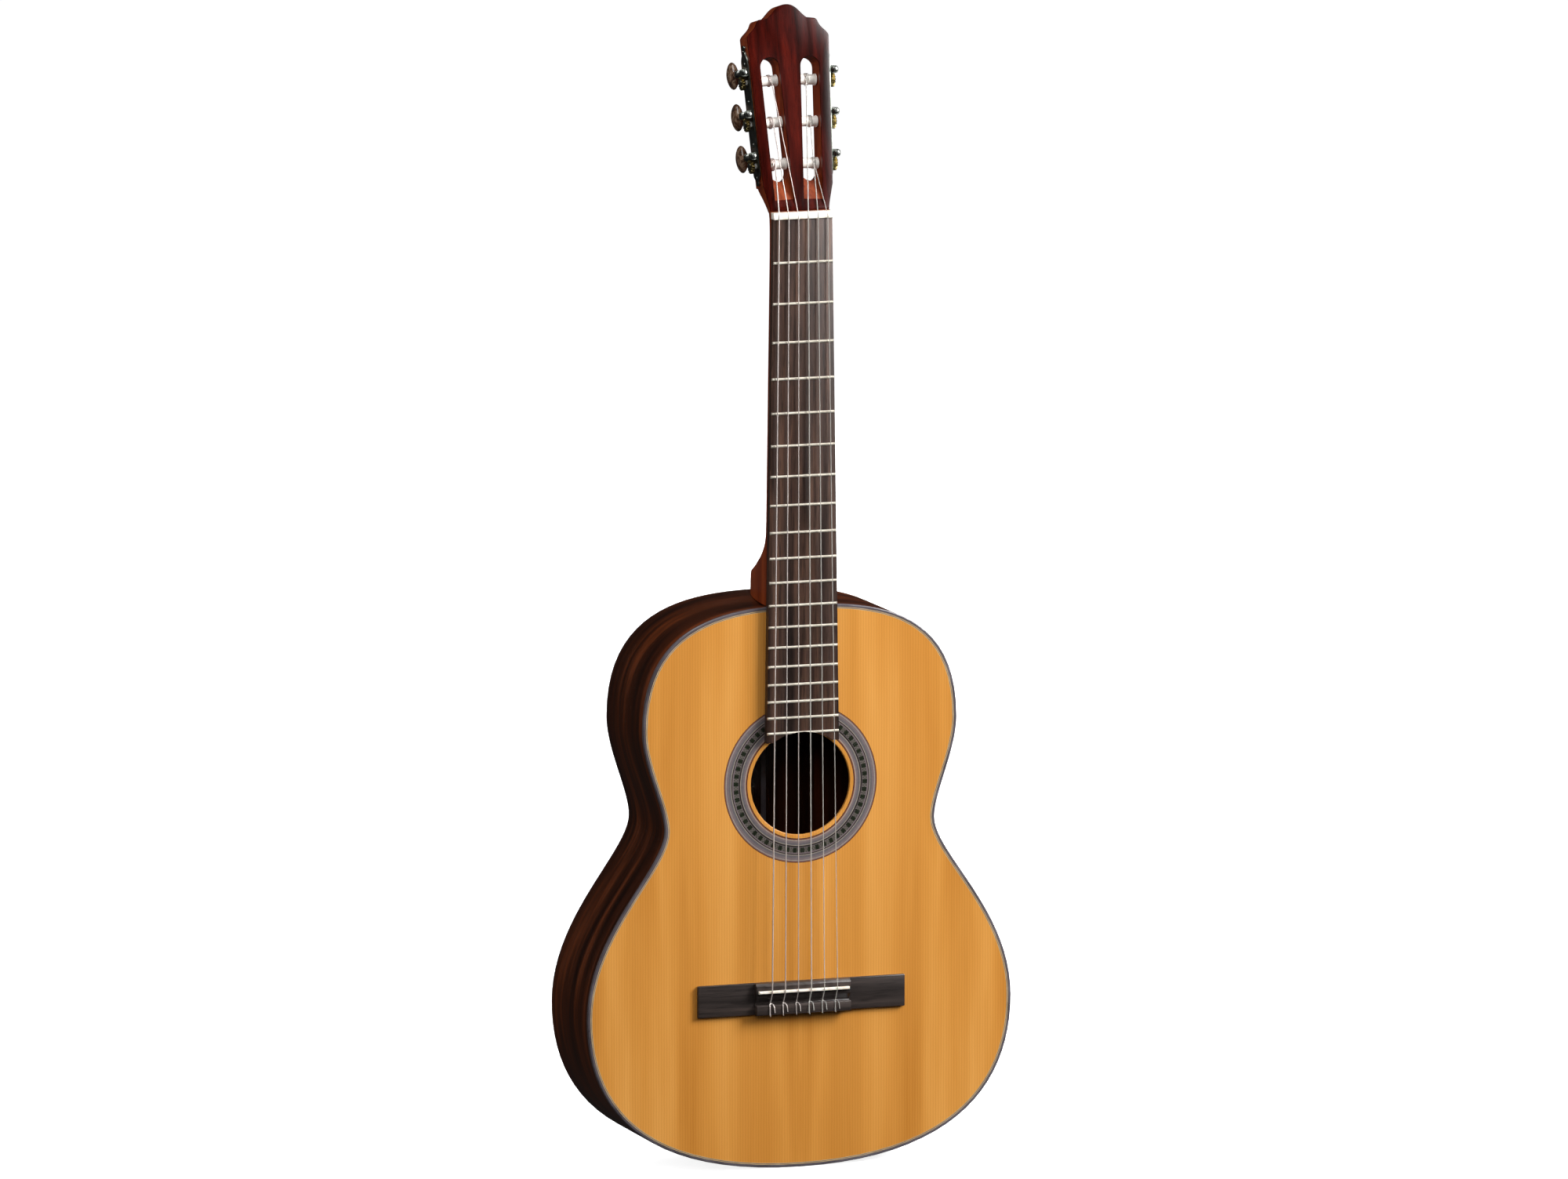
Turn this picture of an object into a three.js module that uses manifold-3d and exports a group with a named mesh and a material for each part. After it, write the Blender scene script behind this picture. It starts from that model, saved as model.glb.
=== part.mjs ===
// Classical guitar: a hollow body, a neck with a slotted head, six strings and two tuning machines.
// Millimetres. The strings run along Z, the soundboard's face looks towards -Y, and +X is the treble side.
// The origin is on the neck's face at the nut, where a wall hanger carries the guitar.

import * as THREE from "three";
import { mergeVertices } from "three/addons/utils/BufferGeometryUtils.js";
import Module from "manifold-3d";

// ---- Driving dimensions ----

const GAP = 0.3; // room left between pieces that are glued or fitted together
const OVERRUN = 3; // how far a cutting tool runs past the face it enters

// Strings and fingerboard
const SCALE_LENGTH = 650;
const FRET_COUNT = 19;
const NUT_HALF_WIDTH = 26;
const HALF_WIDTH_GROWTH = 4.5 / 325; // how much wider half of the neck gets for each mm towards the body
const NUT_LENGTH = 5.6;
const NUT_HEIGHT = 7.6;
const NUT_STRING_SPREAD = 43;
const SADDLE_STRING_SPREAD = 58;
const SADDLE = { station: -652, height: 11.3, foot: 3.9, thickness: 2.4, halfLength: 40.3 };
const FINGERBOARD_THICKNESS = 6.3;
const FINGERBOARD_END = -441;
const FRET_WIDTH = 2.2;
const FRET_HEIGHT = 1;
const STRING_DIAMETERS = [1.09, 0.89, 0.74, 1.02, 0.82, 0.71]; // from the bass side to the treble side
const STRING_SIDES = 8;

// Body
const BODY_TOP = -325.8;
const BODY_LENGTH = 478.5;
const BODY_BOTTOM = BODY_TOP - BODY_LENGTH;
const BODY_DEPTH = 97;
const PLATE_THICKNESS = 2.5;
const RIB_THICKNESS = 2.2;
const BINDING_WIDTH = 4;
const LINING_INSET = RIB_THICKNESS + GAP;
const LINING_WIDTH = 6;
const LINING_DEPTH = 14;
const OUTLINE_STEPS = 7; // straight pieces in each of the four curves of half an outline
// The widest and narrowest places of the body, with how far each curve runs straight on from them
const TAIL = { reach: 144 };
const LOWER_BOUT = { halfWidth: 188.3, height: 136, reach: 73 };
const WAIST = { halfWidth: 119.5, height: 292, reachDown: 31, reachUp: 21 };
const UPPER_BOUT = { halfWidth: 139.2, height: 377, reach: 29 };
const SHOULDER = { drop: 6, reach: 60 };
const SOUNDHOLE = { station: -477, radius: 43.9 };
const ROSETTE = { inner: 47.2, outer: 67.8, depth: 1.2 };
const NECK_BLOCK = { halfWidth: 32, belowRibs: 4.6, belowLinings: 11, length: 40 };
const TAIL_BLOCK = { halfWidth: 35, aboveRibs: 5, aboveLinings: 11.5, length: 22 };
const HARMONIC_BAR = { width: 8, height: 15 };
const BACK_BRACE = { width: 9, height: 11 };
const FAN = { top: -536, bottom: -766, topSpacing: 22, bottomSpacing: 42, width: 7, height: 5.5 };
const PARED_LENGTH = 40; // how far each end of a bar is pared down
const PARED_HEIGHT = 0.25; // the share of a bar's height that is left at its tips
const ROUND_SIDES = 28;

// Head and tuning machines
const HEAD_TILT = THREE.MathUtils.degToRad(12);
const HEAD_THICKNESS = 20;
const VENEER_THICKNESS = 1.7;
const VENEER_START = 6.6;
const HEAD_LEAN = THREE.MathUtils.degToRad(2.5); // how far each side of the head leans outwards
const HEAD_CORNER = { halfWidth: 36, height: 152 };
const ROLLER_PITCH = 35;
const MIDDLE_ROLLER = { height: 80.5, depth: 10.5 };
const SLOT = { width: 17, fromSide: 17.2, bottom: -50, top: 54 };
const RAMP_LENGTH = 22;
const RAMP_DEPTH = 7;
const MACHINE_PLATE = { thickness: 1.2, halfWidth: 8, bottom: -52, top: 66 };
const GEAR_TEETH = 14;
const GEAR = { root: 4.6, pitch: 5.6, tip: 6.4, width: 3.2, bore: 1.9 };
const WORM = { core: 1.5, tip: 3.3, turns: 3, stepsPerTurn: 6 };
const WORM_LEAD = (2 * Math.PI * GEAR.pitch) / GEAR_TEETH;
const WORM_ABOVE_ROLLER = 8.1;
const WORM_FROM_SIDE = 5.2;
const LUG = { inner: 5.3, outer: 7.7, halfHeight: 3.2, reach: 8.6, bore: 1.9 };
const ROLLER_RADIUS = 5;
const JOURNAL_RADIUS = 2.3;
const BUTTON = { front: 12.6, depth: 16, halfThickness: 4, halfLength: 11.5 };
const STRING_TURNS = 1.5;
const STEPS_PER_STRING_TURN = 8;

// Bridge
const BRIDGE = { halfLength: 92, front: -644.5, back: -671.7, wingHeight: 3.6, blockHalfLength: 42 };
const TIE_HOLE_HEIGHT = 5.6;
const TIE_BLOCK_HEIGHT = 9.2;

// ---- Solids ----

const wasm = await Module();
wasm.setup();

// A closed mesh as a solid that can be cut and joined.
function solidOf(geometry) {
  const bare = new THREE.BufferGeometry();
  bare.setAttribute("position", geometry.getAttribute("position"));
  bare.setIndex(geometry.getIndex());
  const merged = mergeVertices(bare, 1e-3);
  const vertProperties = new Float32Array(merged.getAttribute("position").array);
  const triVerts = new Uint32Array(merged.getIndex().array);
  return new wasm.Manifold(new wasm.Mesh({ numProp: 3, vertProperties, triVerts }));
}

function geometryOf(solid) {
  const mesh = solid.getMesh();
  const geometry = new THREE.BufferGeometry();
  geometry.setAttribute("position", new THREE.BufferAttribute(new Float32Array(mesh.vertProperties), 3));
  geometry.setIndex(new THREE.BufferAttribute(new Uint32Array(mesh.triVerts), 1));
  geometry.computeVertexNormals();
  return geometry;
}

const join = (...pieces) => geometryOf(pieces.map(solidOf).reduce((whole, piece) => whole.add(piece)));

const cut = (piece, ...tools) =>
  geometryOf(tools.map(solidOf).reduce((rest, tool) => rest.subtract(tool), solidOf(piece)));

const point = (x, y) => new THREE.Vector2(x, y);

function box(x0, x1, y0, y1, z0, z1) {
  const geometry = new THREE.BoxGeometry(x1 - x0, y1 - y0, z1 - z0);
  return geometry.translate((x0 + x1) / 2, (y0 + y1) / 2, (z0 + z1) / 2);
}

// A shape drawn in x and z, as thick as the stretch from y = front to y = back.
function prismAlongY(outline, front, back, holes = []) {
  const shape = new THREE.Shape(outline);
  shape.holes = holes.map((hole) => new THREE.Path(hole));
  const geometry = new THREE.ExtrudeGeometry(shape, { depth: back - front, bevelEnabled: false });
  return geometry.rotateX(Math.PI / 2).translate(0, back, 0);
}

// A shape drawn in y and z, as thick as the stretch from x = x0 to x = x1.
function prismAlongX(outline, x0, x1, holes = []) {
  const shape = new THREE.Shape(outline);
  shape.holes = holes.map((hole) => new THREE.Path(hole));
  const geometry = new THREE.ExtrudeGeometry(shape, { depth: x1 - x0, bevelEnabled: false });
  const turn = new THREE.Matrix4().makeBasis(
    new THREE.Vector3(0, 1, 0),
    new THREE.Vector3(0, 0, 1),
    new THREE.Vector3(1, 0, 0),
  );
  return geometry.applyMatrix4(turn).translate(x0, 0, 0);
}

function rodAlongX(radius, x0, x1, y, z, sides = 8) {
  const rod = new THREE.CylinderGeometry(radius, radius, Math.abs(x1 - x0), sides);
  return rod.rotateZ(Math.PI / 2).translate((x0 + x1) / 2, y, z);
}

function rodAlongY(radius, y0, y1, x, z, sides = 8) {
  return new THREE.CylinderGeometry(radius, radius, y1 - y0, sides).translate(x, (y0 + y1) / 2, z);
}

function rodAlongZ(radius, z0, z1, x, y, sides = 8) {
  const rod = new THREE.CylinderGeometry(radius, radius, z1 - z0, sides);
  return rod.rotateX(Math.PI / 2).translate(x, y, (z0 + z1) / 2);
}

const circle = (radius, sides, centreZ = 0) =>
  Array.from({ length: sides }, (_, k) => {
    const angle = (2 * Math.PI * k) / sides;
    return point(radius * Math.cos(angle), centreZ + radius * Math.sin(angle));
  });

// A closed skin through rings of equally many points, with a flat cap on the first and the last ring.
function loft(rings) {
  const count = rings[0].length;
  const last = (rings.length - 1) * count;
  const index = [];
  for (let ring = 0; ring < rings.length - 1; ring++) {
    for (let k = 0; k < count; k++) {
      const a = ring * count + k;
      const b = ring * count + ((k + 1) % count);
      index.push(a, b, b + count, a, b + count, a + count);
    }
  }
  for (let k = 1; k < count - 1; k++) {
    index.push(0, k + 1, k);
    index.push(last, last + k, last + k + 1);
  }
  const geometry = new THREE.BufferGeometry();
  const positions = rings.flat().flatMap((p) => [p.x, p.y, p.z]);
  geometry.setAttribute("position", new THREE.Float32BufferAttribute(positions, 3));
  geometry.setIndex(index);
  return geometry;
}

const finishes = {
  top: { color: 0xd9953f, roughness: 0.3, metalness: 0 },
  rosewood: { color: 0x2b1410, roughness: 0.3, metalness: 0 },
  mahogany: { color: 0x6a1d10, roughness: 0.3, metalness: 0 },
  fingerboard: { color: 0x4a3a33, roughness: 0.55, metalness: 0 },
  binding: { color: 0x4d4a50, roughness: 0.4, metalness: 0 },
  rosette: { color: 0x7c7166, roughness: 0.45, metalness: 0 },
  bone: { color: 0xeee8da, roughness: 0.4, metalness: 0 },
  spruce: { color: 0xd8bf90, roughness: 0.7, metalness: 0 },
  nickel: { color: 0x6d7471, roughness: 0.35, metalness: 1 },
  brass: { color: 0xb89b4a, roughness: 0.35, metalness: 1 },
  roller: { color: 0xf0e9dc, roughness: 0.35, metalness: 0 },
  button: { color: 0x6a4526, roughness: 0.25, metalness: 0 },
  woundString: { color: 0xb9a189, roughness: 0.4, metalness: 1 },
  nylon: { color: 0xd8d4cc, roughness: 0.2, metalness: 0 },
};

function part(name, geometry, finish) {
  const mesh = new THREE.Mesh(geometry, new THREE.MeshStandardMaterial(finishes[finish]));
  mesh.name = name;
  return mesh;
}

// ---- Body ----

// Half of the body's outline from the tail to the neck, moved inwards, as x and z.
function halfOutline(inset) {
  const { halfWidth: lowerX, height: lowerZ, reach: lowerReach } = LOWER_BOUT;
  const { halfWidth: waistX, height: waistZ, reachDown, reachUp } = WAIST;
  const { halfWidth: upperX, height: upperZ, reach: upperReach } = UPPER_BOUT;
  const curves = [
    [point(0, 0), point(TAIL.reach, 0), point(lowerX, lowerZ - lowerReach), point(lowerX, lowerZ)],
    [
      point(lowerX, lowerZ),
      point(lowerX, lowerZ + lowerReach),
      point(waistX, waistZ - reachDown),
      point(waistX, waistZ),
    ],
    [
      point(waistX, waistZ),
      point(waistX, waistZ + reachUp),
      point(upperX, upperZ - upperReach),
      point(upperX, upperZ),
    ],
    [
      point(upperX, upperZ),
      point(upperX, BODY_LENGTH - SHOULDER.drop),
      point(SHOULDER.reach, BODY_LENGTH),
      point(0, BODY_LENGTH),
    ],
  ].map((corners) => new THREE.CubicBezierCurve(...corners));
  const points = [];
  curves.forEach((curve, index) => {
    for (let step = index ? 1 : 0; step <= OUTLINE_STEPS; step++) {
      const place = curve.getPoint(step / OUTLINE_STEPS);
      const along = curve.getTangent(step / OUTLINE_STEPS);
      points.push(point(place.x - inset * along.y, BODY_BOTTOM + place.y + inset * along.x));
    }
  });
  points[0].x = 0;
  points[points.length - 1].x = 0;
  return points;
}

const mirrored = (points) => points.map((p) => point(-p.x, p.y)).reverse();

function outline(inset) {
  const half = halfOutline(inset);
  return [...half, ...mirrored(half).slice(1, -1)];
}

// One bent rib: a strip that follows half of the outline.
function rib(side) {
  const outer = halfOutline(0);
  const inner = halfOutline(RIB_THICKNESS).reverse();
  const strip = [...outer, ...inner].map((p) => point(side * Math.max(p.x, GAP / 2), p.y));
  return prismAlongY(strip, PLATE_THICKNESS + GAP, BODY_DEPTH - PLATE_THICKNESS - GAP);
}

const ring = (outerInset, innerInset, front, back) =>
  prismAlongY(outline(outerInset), front, back, [outline(innerInset)]);

const lining = (front) => ring(LINING_INSET, LINING_INSET + LINING_WIDTH, front, front + LINING_DEPTH);

function soundboard() {
  const hole = circle(SOUNDHOLE.radius, ROUND_SIDES, SOUNDHOLE.station);
  const plate = prismAlongY(outline(BINDING_WIDTH + GAP), 0, PLATE_THICKNESS, [hole]);
  const channel = prismAlongY(
    circle(ROSETTE.outer + GAP, ROUND_SIDES, SOUNDHOLE.station),
    -OVERRUN,
    ROSETTE.depth + GAP,
    [circle(ROSETTE.inner - GAP, ROUND_SIDES, SOUNDHOLE.station)],
  );
  return cut(plate, channel);
}

function rosette() {
  const outer = circle(ROSETTE.outer, ROUND_SIDES, SOUNDHOLE.station);
  return prismAlongY(outer, 0, ROSETTE.depth, [circle(ROSETTE.inner, ROUND_SIDES, SOUNDHOLE.station)]);
}

// A block that fills the body's depth, notched where the linings pass behind it. Its three faces are
// stations along the body: the one near the ribs, the one near the linings and the one inside the body.
function bodyBlock(halfWidth, ribFace, liningFace, innerFace) {
  const front = PLATE_THICKNESS + GAP;
  const back = BODY_DEPTH - front;
  const low = Math.min(liningFace, innerFace);
  const high = Math.max(liningFace, innerFace);
  const whole = box(-halfWidth, halfWidth, front, back, low, high);
  const clear = LINING_DEPTH + GAP;
  const ribEnd = ribFace > innerFace ? [innerFace, ribFace] : [ribFace, innerFace];
  return join(whole, box(-halfWidth, halfWidth, front + clear, back - clear, ...ribEnd));
}

function neckBlock() {
  const { halfWidth, belowRibs, belowLinings, length } = NECK_BLOCK;
  return bodyBlock(halfWidth, BODY_TOP - belowRibs, BODY_TOP - belowLinings, BODY_TOP - length);
}

function tailBlock() {
  const { halfWidth, aboveRibs, aboveLinings, length } = TAIL_BLOCK;
  return bodyBlock(halfWidth, BODY_BOTTOM + aboveRibs, BODY_BOTTOM + aboveLinings, BODY_BOTTOM + length);
}

// A bar glued across a plate, as tall as height in its middle and pared down to its ends.
function crossBar(halfLength, station, width, glueFace, height) {
  const tip = glueFace + height * PARED_HEIGHT;
  const crown = glueFace + height;
  const pared = Math.min(PARED_LENGTH, halfLength / 3);
  const profile = [
    [-halfLength, glueFace],
    [halfLength, glueFace],
    [halfLength, tip],
    [halfLength - pared, crown],
    [pared - halfLength, crown],
    [-halfLength, tip],
  ].map(([x, y]) => point(x, y));
  const geometry = new THREE.ExtrudeGeometry(new THREE.Shape(profile), { depth: width, bevelEnabled: false });
  return geometry.translate(0, 0, station - width / 2);
}

const harmonicBar = (halfLength, station) =>
  crossBar(halfLength, station, HARMONIC_BAR.width, PLATE_THICKNESS + GAP, HARMONIC_BAR.height);

// A brace across the back plate, which is the same bar turned over.
function backBrace(halfLength, station) {
  const glueFace = GAP + PLATE_THICKNESS - BODY_DEPTH;
  return crossBar(halfLength, -station, BACK_BRACE.width, glueFace, BACK_BRACE.height).rotateX(Math.PI);
}

// One of the fan braces, counted from the centre line.
function fanBrace(place) {
  const rise = FAN.top - FAN.bottom;
  const spread = place * (FAN.bottomSpacing - FAN.topSpacing);
  const brace = crossBar(Math.hypot(rise, spread) / 2 - FAN.width, 0, FAN.width, 0, FAN.height);
  const lean = Math.PI / 2 + Math.atan2(spread, rise);
  const middle = (place * (FAN.topSpacing + FAN.bottomSpacing)) / 2;
  return brace.rotateY(lean).translate(middle, PLATE_THICKNESS + GAP, (FAN.top + FAN.bottom) / 2);
}

const body = new THREE.Group();
const plateBack = BODY_DEPTH - PLATE_THICKNESS;
body.add(
  part("soundboard", soundboard(), "top"),
  part("rosette", rosette(), "rosette"),
  part("back", prismAlongY(outline(BINDING_WIDTH + GAP), plateBack, BODY_DEPTH), "rosewood"),
  part("side_bass", rib(-1), "rosewood"),
  part("side_treble", rib(1), "rosewood"),
  part("binding_front", ring(0, BINDING_WIDTH, 0, PLATE_THICKNESS), "binding"),
  part("binding_back", ring(0, BINDING_WIDTH, plateBack, BODY_DEPTH), "binding"),
  part("lining_front", lining(PLATE_THICKNESS + GAP), "spruce"),
  part("lining_back", lining(plateBack - GAP - LINING_DEPTH), "spruce"),
  part("neck_block", neckBlock(), "mahogany"),
  part("tail_block", tailBlock(), "mahogany"),
  part("harmonic_bar_upper", harmonicBar(127, -421), "spruce"),
  part("harmonic_bar_lower", harmonicBar(111, -530), "spruce"),
);
[-2, -1, 0, 1, 2].forEach((place, index) => {
  body.add(part(`fan_brace_${index + 1}`, fanBrace(place), "spruce"));
});
[
  [122, -392],
  [120, -548],
  [175, -690],
].forEach(([halfLength, station], index) => {
  body.add(part(`back_brace_${index + 1}`, backBrace(halfLength, station), "spruce"));
});

// ---- Neck ----

const neckHalfWidth = (z) => NUT_HALF_WIDTH - z * HALF_WIDTH_GROWTH;

// Half the head's width at a height measured along its face.
const headHalfWidth = (height) =>
  HEAD_CORNER.halfWidth - (HEAD_CORNER.height - height) * Math.tan(HEAD_LEAN);

// The head's own frame: x across, y through its thickness from the face, z along the face.
const headFrame = new THREE.Matrix4().makeRotationX(-HEAD_TILT);

// One tuning machine's frame: x square to the head's side, y through the head, z along the side,
// with its origin on the side at the middle roller's axis.
function machineFrame(side) {
  const place = new THREE.Matrix4().makeTranslation(
    side * headHalfWidth(MIDDLE_ROLLER.height),
    MIDDLE_ROLLER.depth,
    MIDDLE_ROLLER.height,
  );
  return place.multiply(new THREE.Matrix4().makeRotationY(side * HEAD_LEAN));
}

const machineInGuitar = (side) => headFrame.clone().multiply(machineFrame(side));

// A cross-section of the neck: flat in front and rounded behind, cut off at a flat back if it gets there.
// A fullness of 2 is an ellipse, and more is squarer.
function neckSection({ z, y = 0, tilt = 0, halfWidth, depth, fullness, flatAt = Infinity }) {
  const steps = 10;
  return Array.from({ length: steps + 1 }, (_, k) => {
    const angle = (Math.PI * k) / steps;
    const across = Math.abs(Math.cos(angle)) ** (2 / fullness) * Math.sign(Math.cos(angle));
    const behind = Math.min(depth * Math.abs(Math.sin(angle)) ** (2 / fullness), flatAt);
    return new THREE.Vector3(
      halfWidth * across,
      y + behind * Math.cos(tilt),
      z - behind * Math.sin(tilt),
    );
  });
}

// A section across the head, at a height along its face.
function headSection(height, halfWidth, fullness) {
  const front = VENEER_THICKNESS + GAP;
  return neckSection({
    z: height * Math.cos(HEAD_TILT) - front * Math.sin(HEAD_TILT),
    y: height * Math.sin(HEAD_TILT) + front * Math.cos(HEAD_TILT),
    tilt: HEAD_TILT,
    halfWidth,
    depth: HEAD_THICKNESS - front,
    fullness,
  });
}

const HEEL_BACK = BODY_DEPTH - PLATE_THICKNESS - 0.5; // the heel stops just short of its cap
const neckSections = [
  ...[
    [-325.5, 104, 1.7],
    [-308, 97, 1.85],
    [-302, 82, 2],
    [-294, 60, 2.3],
    [-287, 42, 2.6],
    [-280, 28, 2.8],
    [-272, 19.5, 2.6],
    [-262, 17.2, 2.3],
    [-30, 15.6, 2.3],
  ].map(([z, depth, fullness]) =>
    neckSection({ z, halfWidth: neckHalfWidth(z), depth, fullness, flatAt: HEEL_BACK }),
  ),
  neckSection({ z: -12, tilt: HEAD_TILT / 4, halfWidth: NUT_HALF_WIDTH, depth: 17.2, fullness: 2.3 }),
  neckSection({ z: 0, tilt: HEAD_TILT / 2, halfWidth: NUT_HALF_WIDTH, depth: 19.7, fullness: 2.4 }),
  neckSection({ z: 5.7, tilt: HEAD_TILT, halfWidth: NUT_HALF_WIDTH, depth: 21.2, fullness: 2.6 }),
  headSection(VENEER_START, NUT_HALF_WIDTH, 2.6),
  headSection(10, 26.6, 3),
  headSection(18, 28.2, 5),
  headSection(28, headHalfWidth(28), 12),
];

// The head's outline seen square to its face: straight sides, then a stepped crest with a round middle.
function headOutline(bottom) {
  const { halfWidth: cornerX, height: cornerZ } = HEAD_CORNER;
  const half = new THREE.Path();
  half.moveTo(headHalfWidth(bottom), bottom);
  half.lineTo(cornerX, cornerZ);
  half.bezierCurveTo(cornerX - 1, cornerZ + 4, 29, cornerZ + 6, 27, cornerZ + 12);
  half.quadraticCurveTo(26, cornerZ + 14.5, 23.5, cornerZ + 14.8);
  half.lineTo(17.5, cornerZ + 15.5);
  half.bezierCurveTo(12, cornerZ + 19, 9, cornerZ + 27, 0, cornerZ + 27);
  const points = half.getPoints(4);
  return [...points, ...mirrored(points).slice(1)];
}

// The veneer's foot follows the head's waist down to the nut.
function veneerOutline() {
  const head = headOutline(28);
  const foot = [
    [26, VENEER_START],
    [26.4, 10],
    [28.2, 18],
  ].map(([x, z]) => point(x, z));
  return [...foot, ...head, ...mirrored(foot)];
}

// What is taken out of the head on one side: the string slot, its ramp and the bores of three rollers.
function headCuts(side) {
  const middle = -side * SLOT.fromSide;
  const radius = SLOT.width / 2;
  const slotEnds = [0, 1].flatMap((end) =>
    Array.from({ length: 6 }, (_, k) => {
      const angle = Math.PI * (end + k / 5);
      const centre = end ? SLOT.bottom + radius : SLOT.top - radius;
      return point(middle + radius * Math.cos(angle), centre + radius * Math.sin(angle));
    }),
  );
  const slot = prismAlongY(slotEnds, -MIDDLE_ROLLER.depth - OVERRUN, HEAD_THICKNESS);
  const face = -MIDDLE_ROLLER.depth;
  const rampTop = SLOT.bottom + radius;
  const rampProfile = [
    point(face - OVERRUN, rampTop),
    point(face + RAMP_DEPTH, rampTop),
    point(face + RAMP_DEPTH, SLOT.bottom + 1),
    point(face - OVERRUN, SLOT.bottom + 1 - RAMP_LENGTH * (1 + OVERRUN / RAMP_DEPTH)),
  ];
  const ramp = prismAlongX(rampProfile, middle - radius, middle + radius);
  const spineBore = -side * (SLOT.fromSide + radius + 3.8);
  const bores = [-1, 0, 1].map((place) =>
    rodAlongX(JOURNAL_RADIUS + 0.6, side * OVERRUN, spineBore, 0, place * ROLLER_PITCH),
  );
  return [slot, ramp, ...bores].map((tool) => tool.applyMatrix4(machineInGuitar(side)));
}

function neck() {
  const front = VENEER_THICKNESS + GAP;
  const head = prismAlongY(headOutline(27), front, HEAD_THICKNESS).applyMatrix4(headFrame);
  return cut(join(loft(neckSections), head), ...headCuts(-1), ...headCuts(1));
}

function headVeneer() {
  const sheet = prismAlongY(veneerOutline(), 0, VENEER_THICKNESS).applyMatrix4(headFrame);
  return cut(sheet, ...headCuts(-1), ...headCuts(1));
}

// The fingerboard with its frets set in it. Its end is cut round to follow the soundhole.
function fingerboard() {
  const corners = [
    [-neckHalfWidth(FINGERBOARD_END), FINGERBOARD_END],
    [neckHalfWidth(FINGERBOARD_END), FINGERBOARD_END],
    [neckHalfWidth(-GAP), -GAP],
    [-neckHalfWidth(-GAP), -GAP],
  ].map(([x, z]) => point(x, z));
  const board = prismAlongY(corners, -FINGERBOARD_THICKNESS, -GAP);
  const frets = Array.from({ length: FRET_COUNT }, (_, k) => {
    const station = -SCALE_LENGTH * (1 - 2 ** (-(k + 1) / 12));
    const halfWidth = neckHalfWidth(station) - 0.2;
    const crown = -FINGERBOARD_THICKNESS - FRET_HEIGHT;
    const half = FRET_WIDTH / 2;
    return box(-halfWidth, halfWidth, crown, 1 - FINGERBOARD_THICKNESS, station - half, station + half);
  });
  const { station, radius } = SOUNDHOLE;
  const end = rodAlongY(radius + 0.6, -FINGERBOARD_THICKNESS - OVERRUN, OVERRUN, 0, station, ROUND_SIDES);
  return cut(join(board, ...frets), end);
}

function nut() {
  const profile = [
    [-GAP, 0],
    [-NUT_HEIGHT, 0],
    [-NUT_HEIGHT + 0.2, 1.5],
    [-NUT_HEIGHT + 1, NUT_LENGTH],
    [-GAP, NUT_LENGTH],
  ].map(([y, z]) => point(y, z));
  return prismAlongX(profile, -NUT_HALF_WIDTH, NUT_HALF_WIDTH);
}

function heelCap() {
  const top = -304;
  const bottom = -325.5;
  const half = new THREE.SplineCurve([
    point(10.2, bottom),
    point(8.6, -316),
    point(5.5, -308),
    point(0, top),
  ]);
  const points = half.getPoints(6);
  return prismAlongY([...points, ...mirrored(points).slice(1)], plateBack, BODY_DEPTH);
}

const neckGroup = new THREE.Group();
neckGroup.add(
  part("neck", neck(), "mahogany"),
  part("head_veneer", headVeneer(), "mahogany"),
  part("fingerboard", fingerboard(), "fingerboard"),
  part("nut", nut(), "bone"),
  part("heel_cap", heelCap(), "rosewood"),
);

// ---- Bridge ----

const stringX = (place, spread) => (place / 5 - 0.5) * spread;

function bridge() {
  const { halfLength, front, back, wingHeight, blockHalfLength } = BRIDGE;
  const wings = box(-halfLength, halfLength, -wingHeight, -GAP, back, front);
  const profile = [
    [-GAP, front],
    [-6.5, front],
    [-8.5, front - 2.5],
    [-8.5, front - 12],
    [-4.4, front - 16.5],
    [-4.4, front - 18.5],
    [-TIE_BLOCK_HEIGHT, front - 18.7],
    [-TIE_BLOCK_HEIGHT, back],
    [-GAP, back],
  ].map(([y, z]) => point(y, z));
  const block = prismAlongX(profile, -blockHalfLength, blockHalfLength);
  const slotHalfLength = SADDLE.halfLength + GAP;
  const slotFront = SADDLE.station + SADDLE.thickness / 2 + 0.4;
  const slotBack = SADDLE.station - SADDLE.thickness / 2 - 0.4;
  const slot = box(-slotHalfLength, slotHalfLength, -SADDLE.height, GAP - SADDLE.foot, slotBack, slotFront);
  const tieHoles = STRING_DIAMETERS.map((_, place) => {
    const x = stringX(place, SADDLE_STRING_SPREAD);
    return rodAlongZ(0.98, back - OVERRUN, front - 16, x, -TIE_HOLE_HEIGHT);
  });
  return cut(join(wings, block), slot, ...tieHoles);
}

// The saddle's crown slopes down behind the line that the strings rest on.
function saddle() {
  const front = SADDLE.station + SADDLE.thickness / 2;
  const back = SADDLE.station - SADDLE.thickness / 2;
  const profile = [
    [-SADDLE.foot, back],
    [1.3 - SADDLE.height, back],
    [-SADDLE.height, SADDLE.station],
    [0.3 - SADDLE.height, front],
    [-SADDLE.foot, front],
  ].map(([y, z]) => point(y, z));
  return prismAlongX(profile, -SADDLE.halfLength, SADDLE.halfLength);
}

const bridgeGroup = new THREE.Group();
bridgeGroup.add(part("bridge", bridge(), "rosewood"), part("saddle", saddle(), "bone"));

// ---- Strings ----

// A route of straight stretches that bends exactly at its points.
class Route extends THREE.Curve {
  constructor(points) {
    super();
    this.points = points;
  }
  getUtoTmapping(u) {
    return u;
  }
  getPoint(t) {
    const stretches = this.points.length - 1;
    const start = Math.min(Math.floor(t * stretches), stretches - 1);
    return this.points[start].clone().lerp(this.points[start + 1], t * stretches - start);
  }
}

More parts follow.
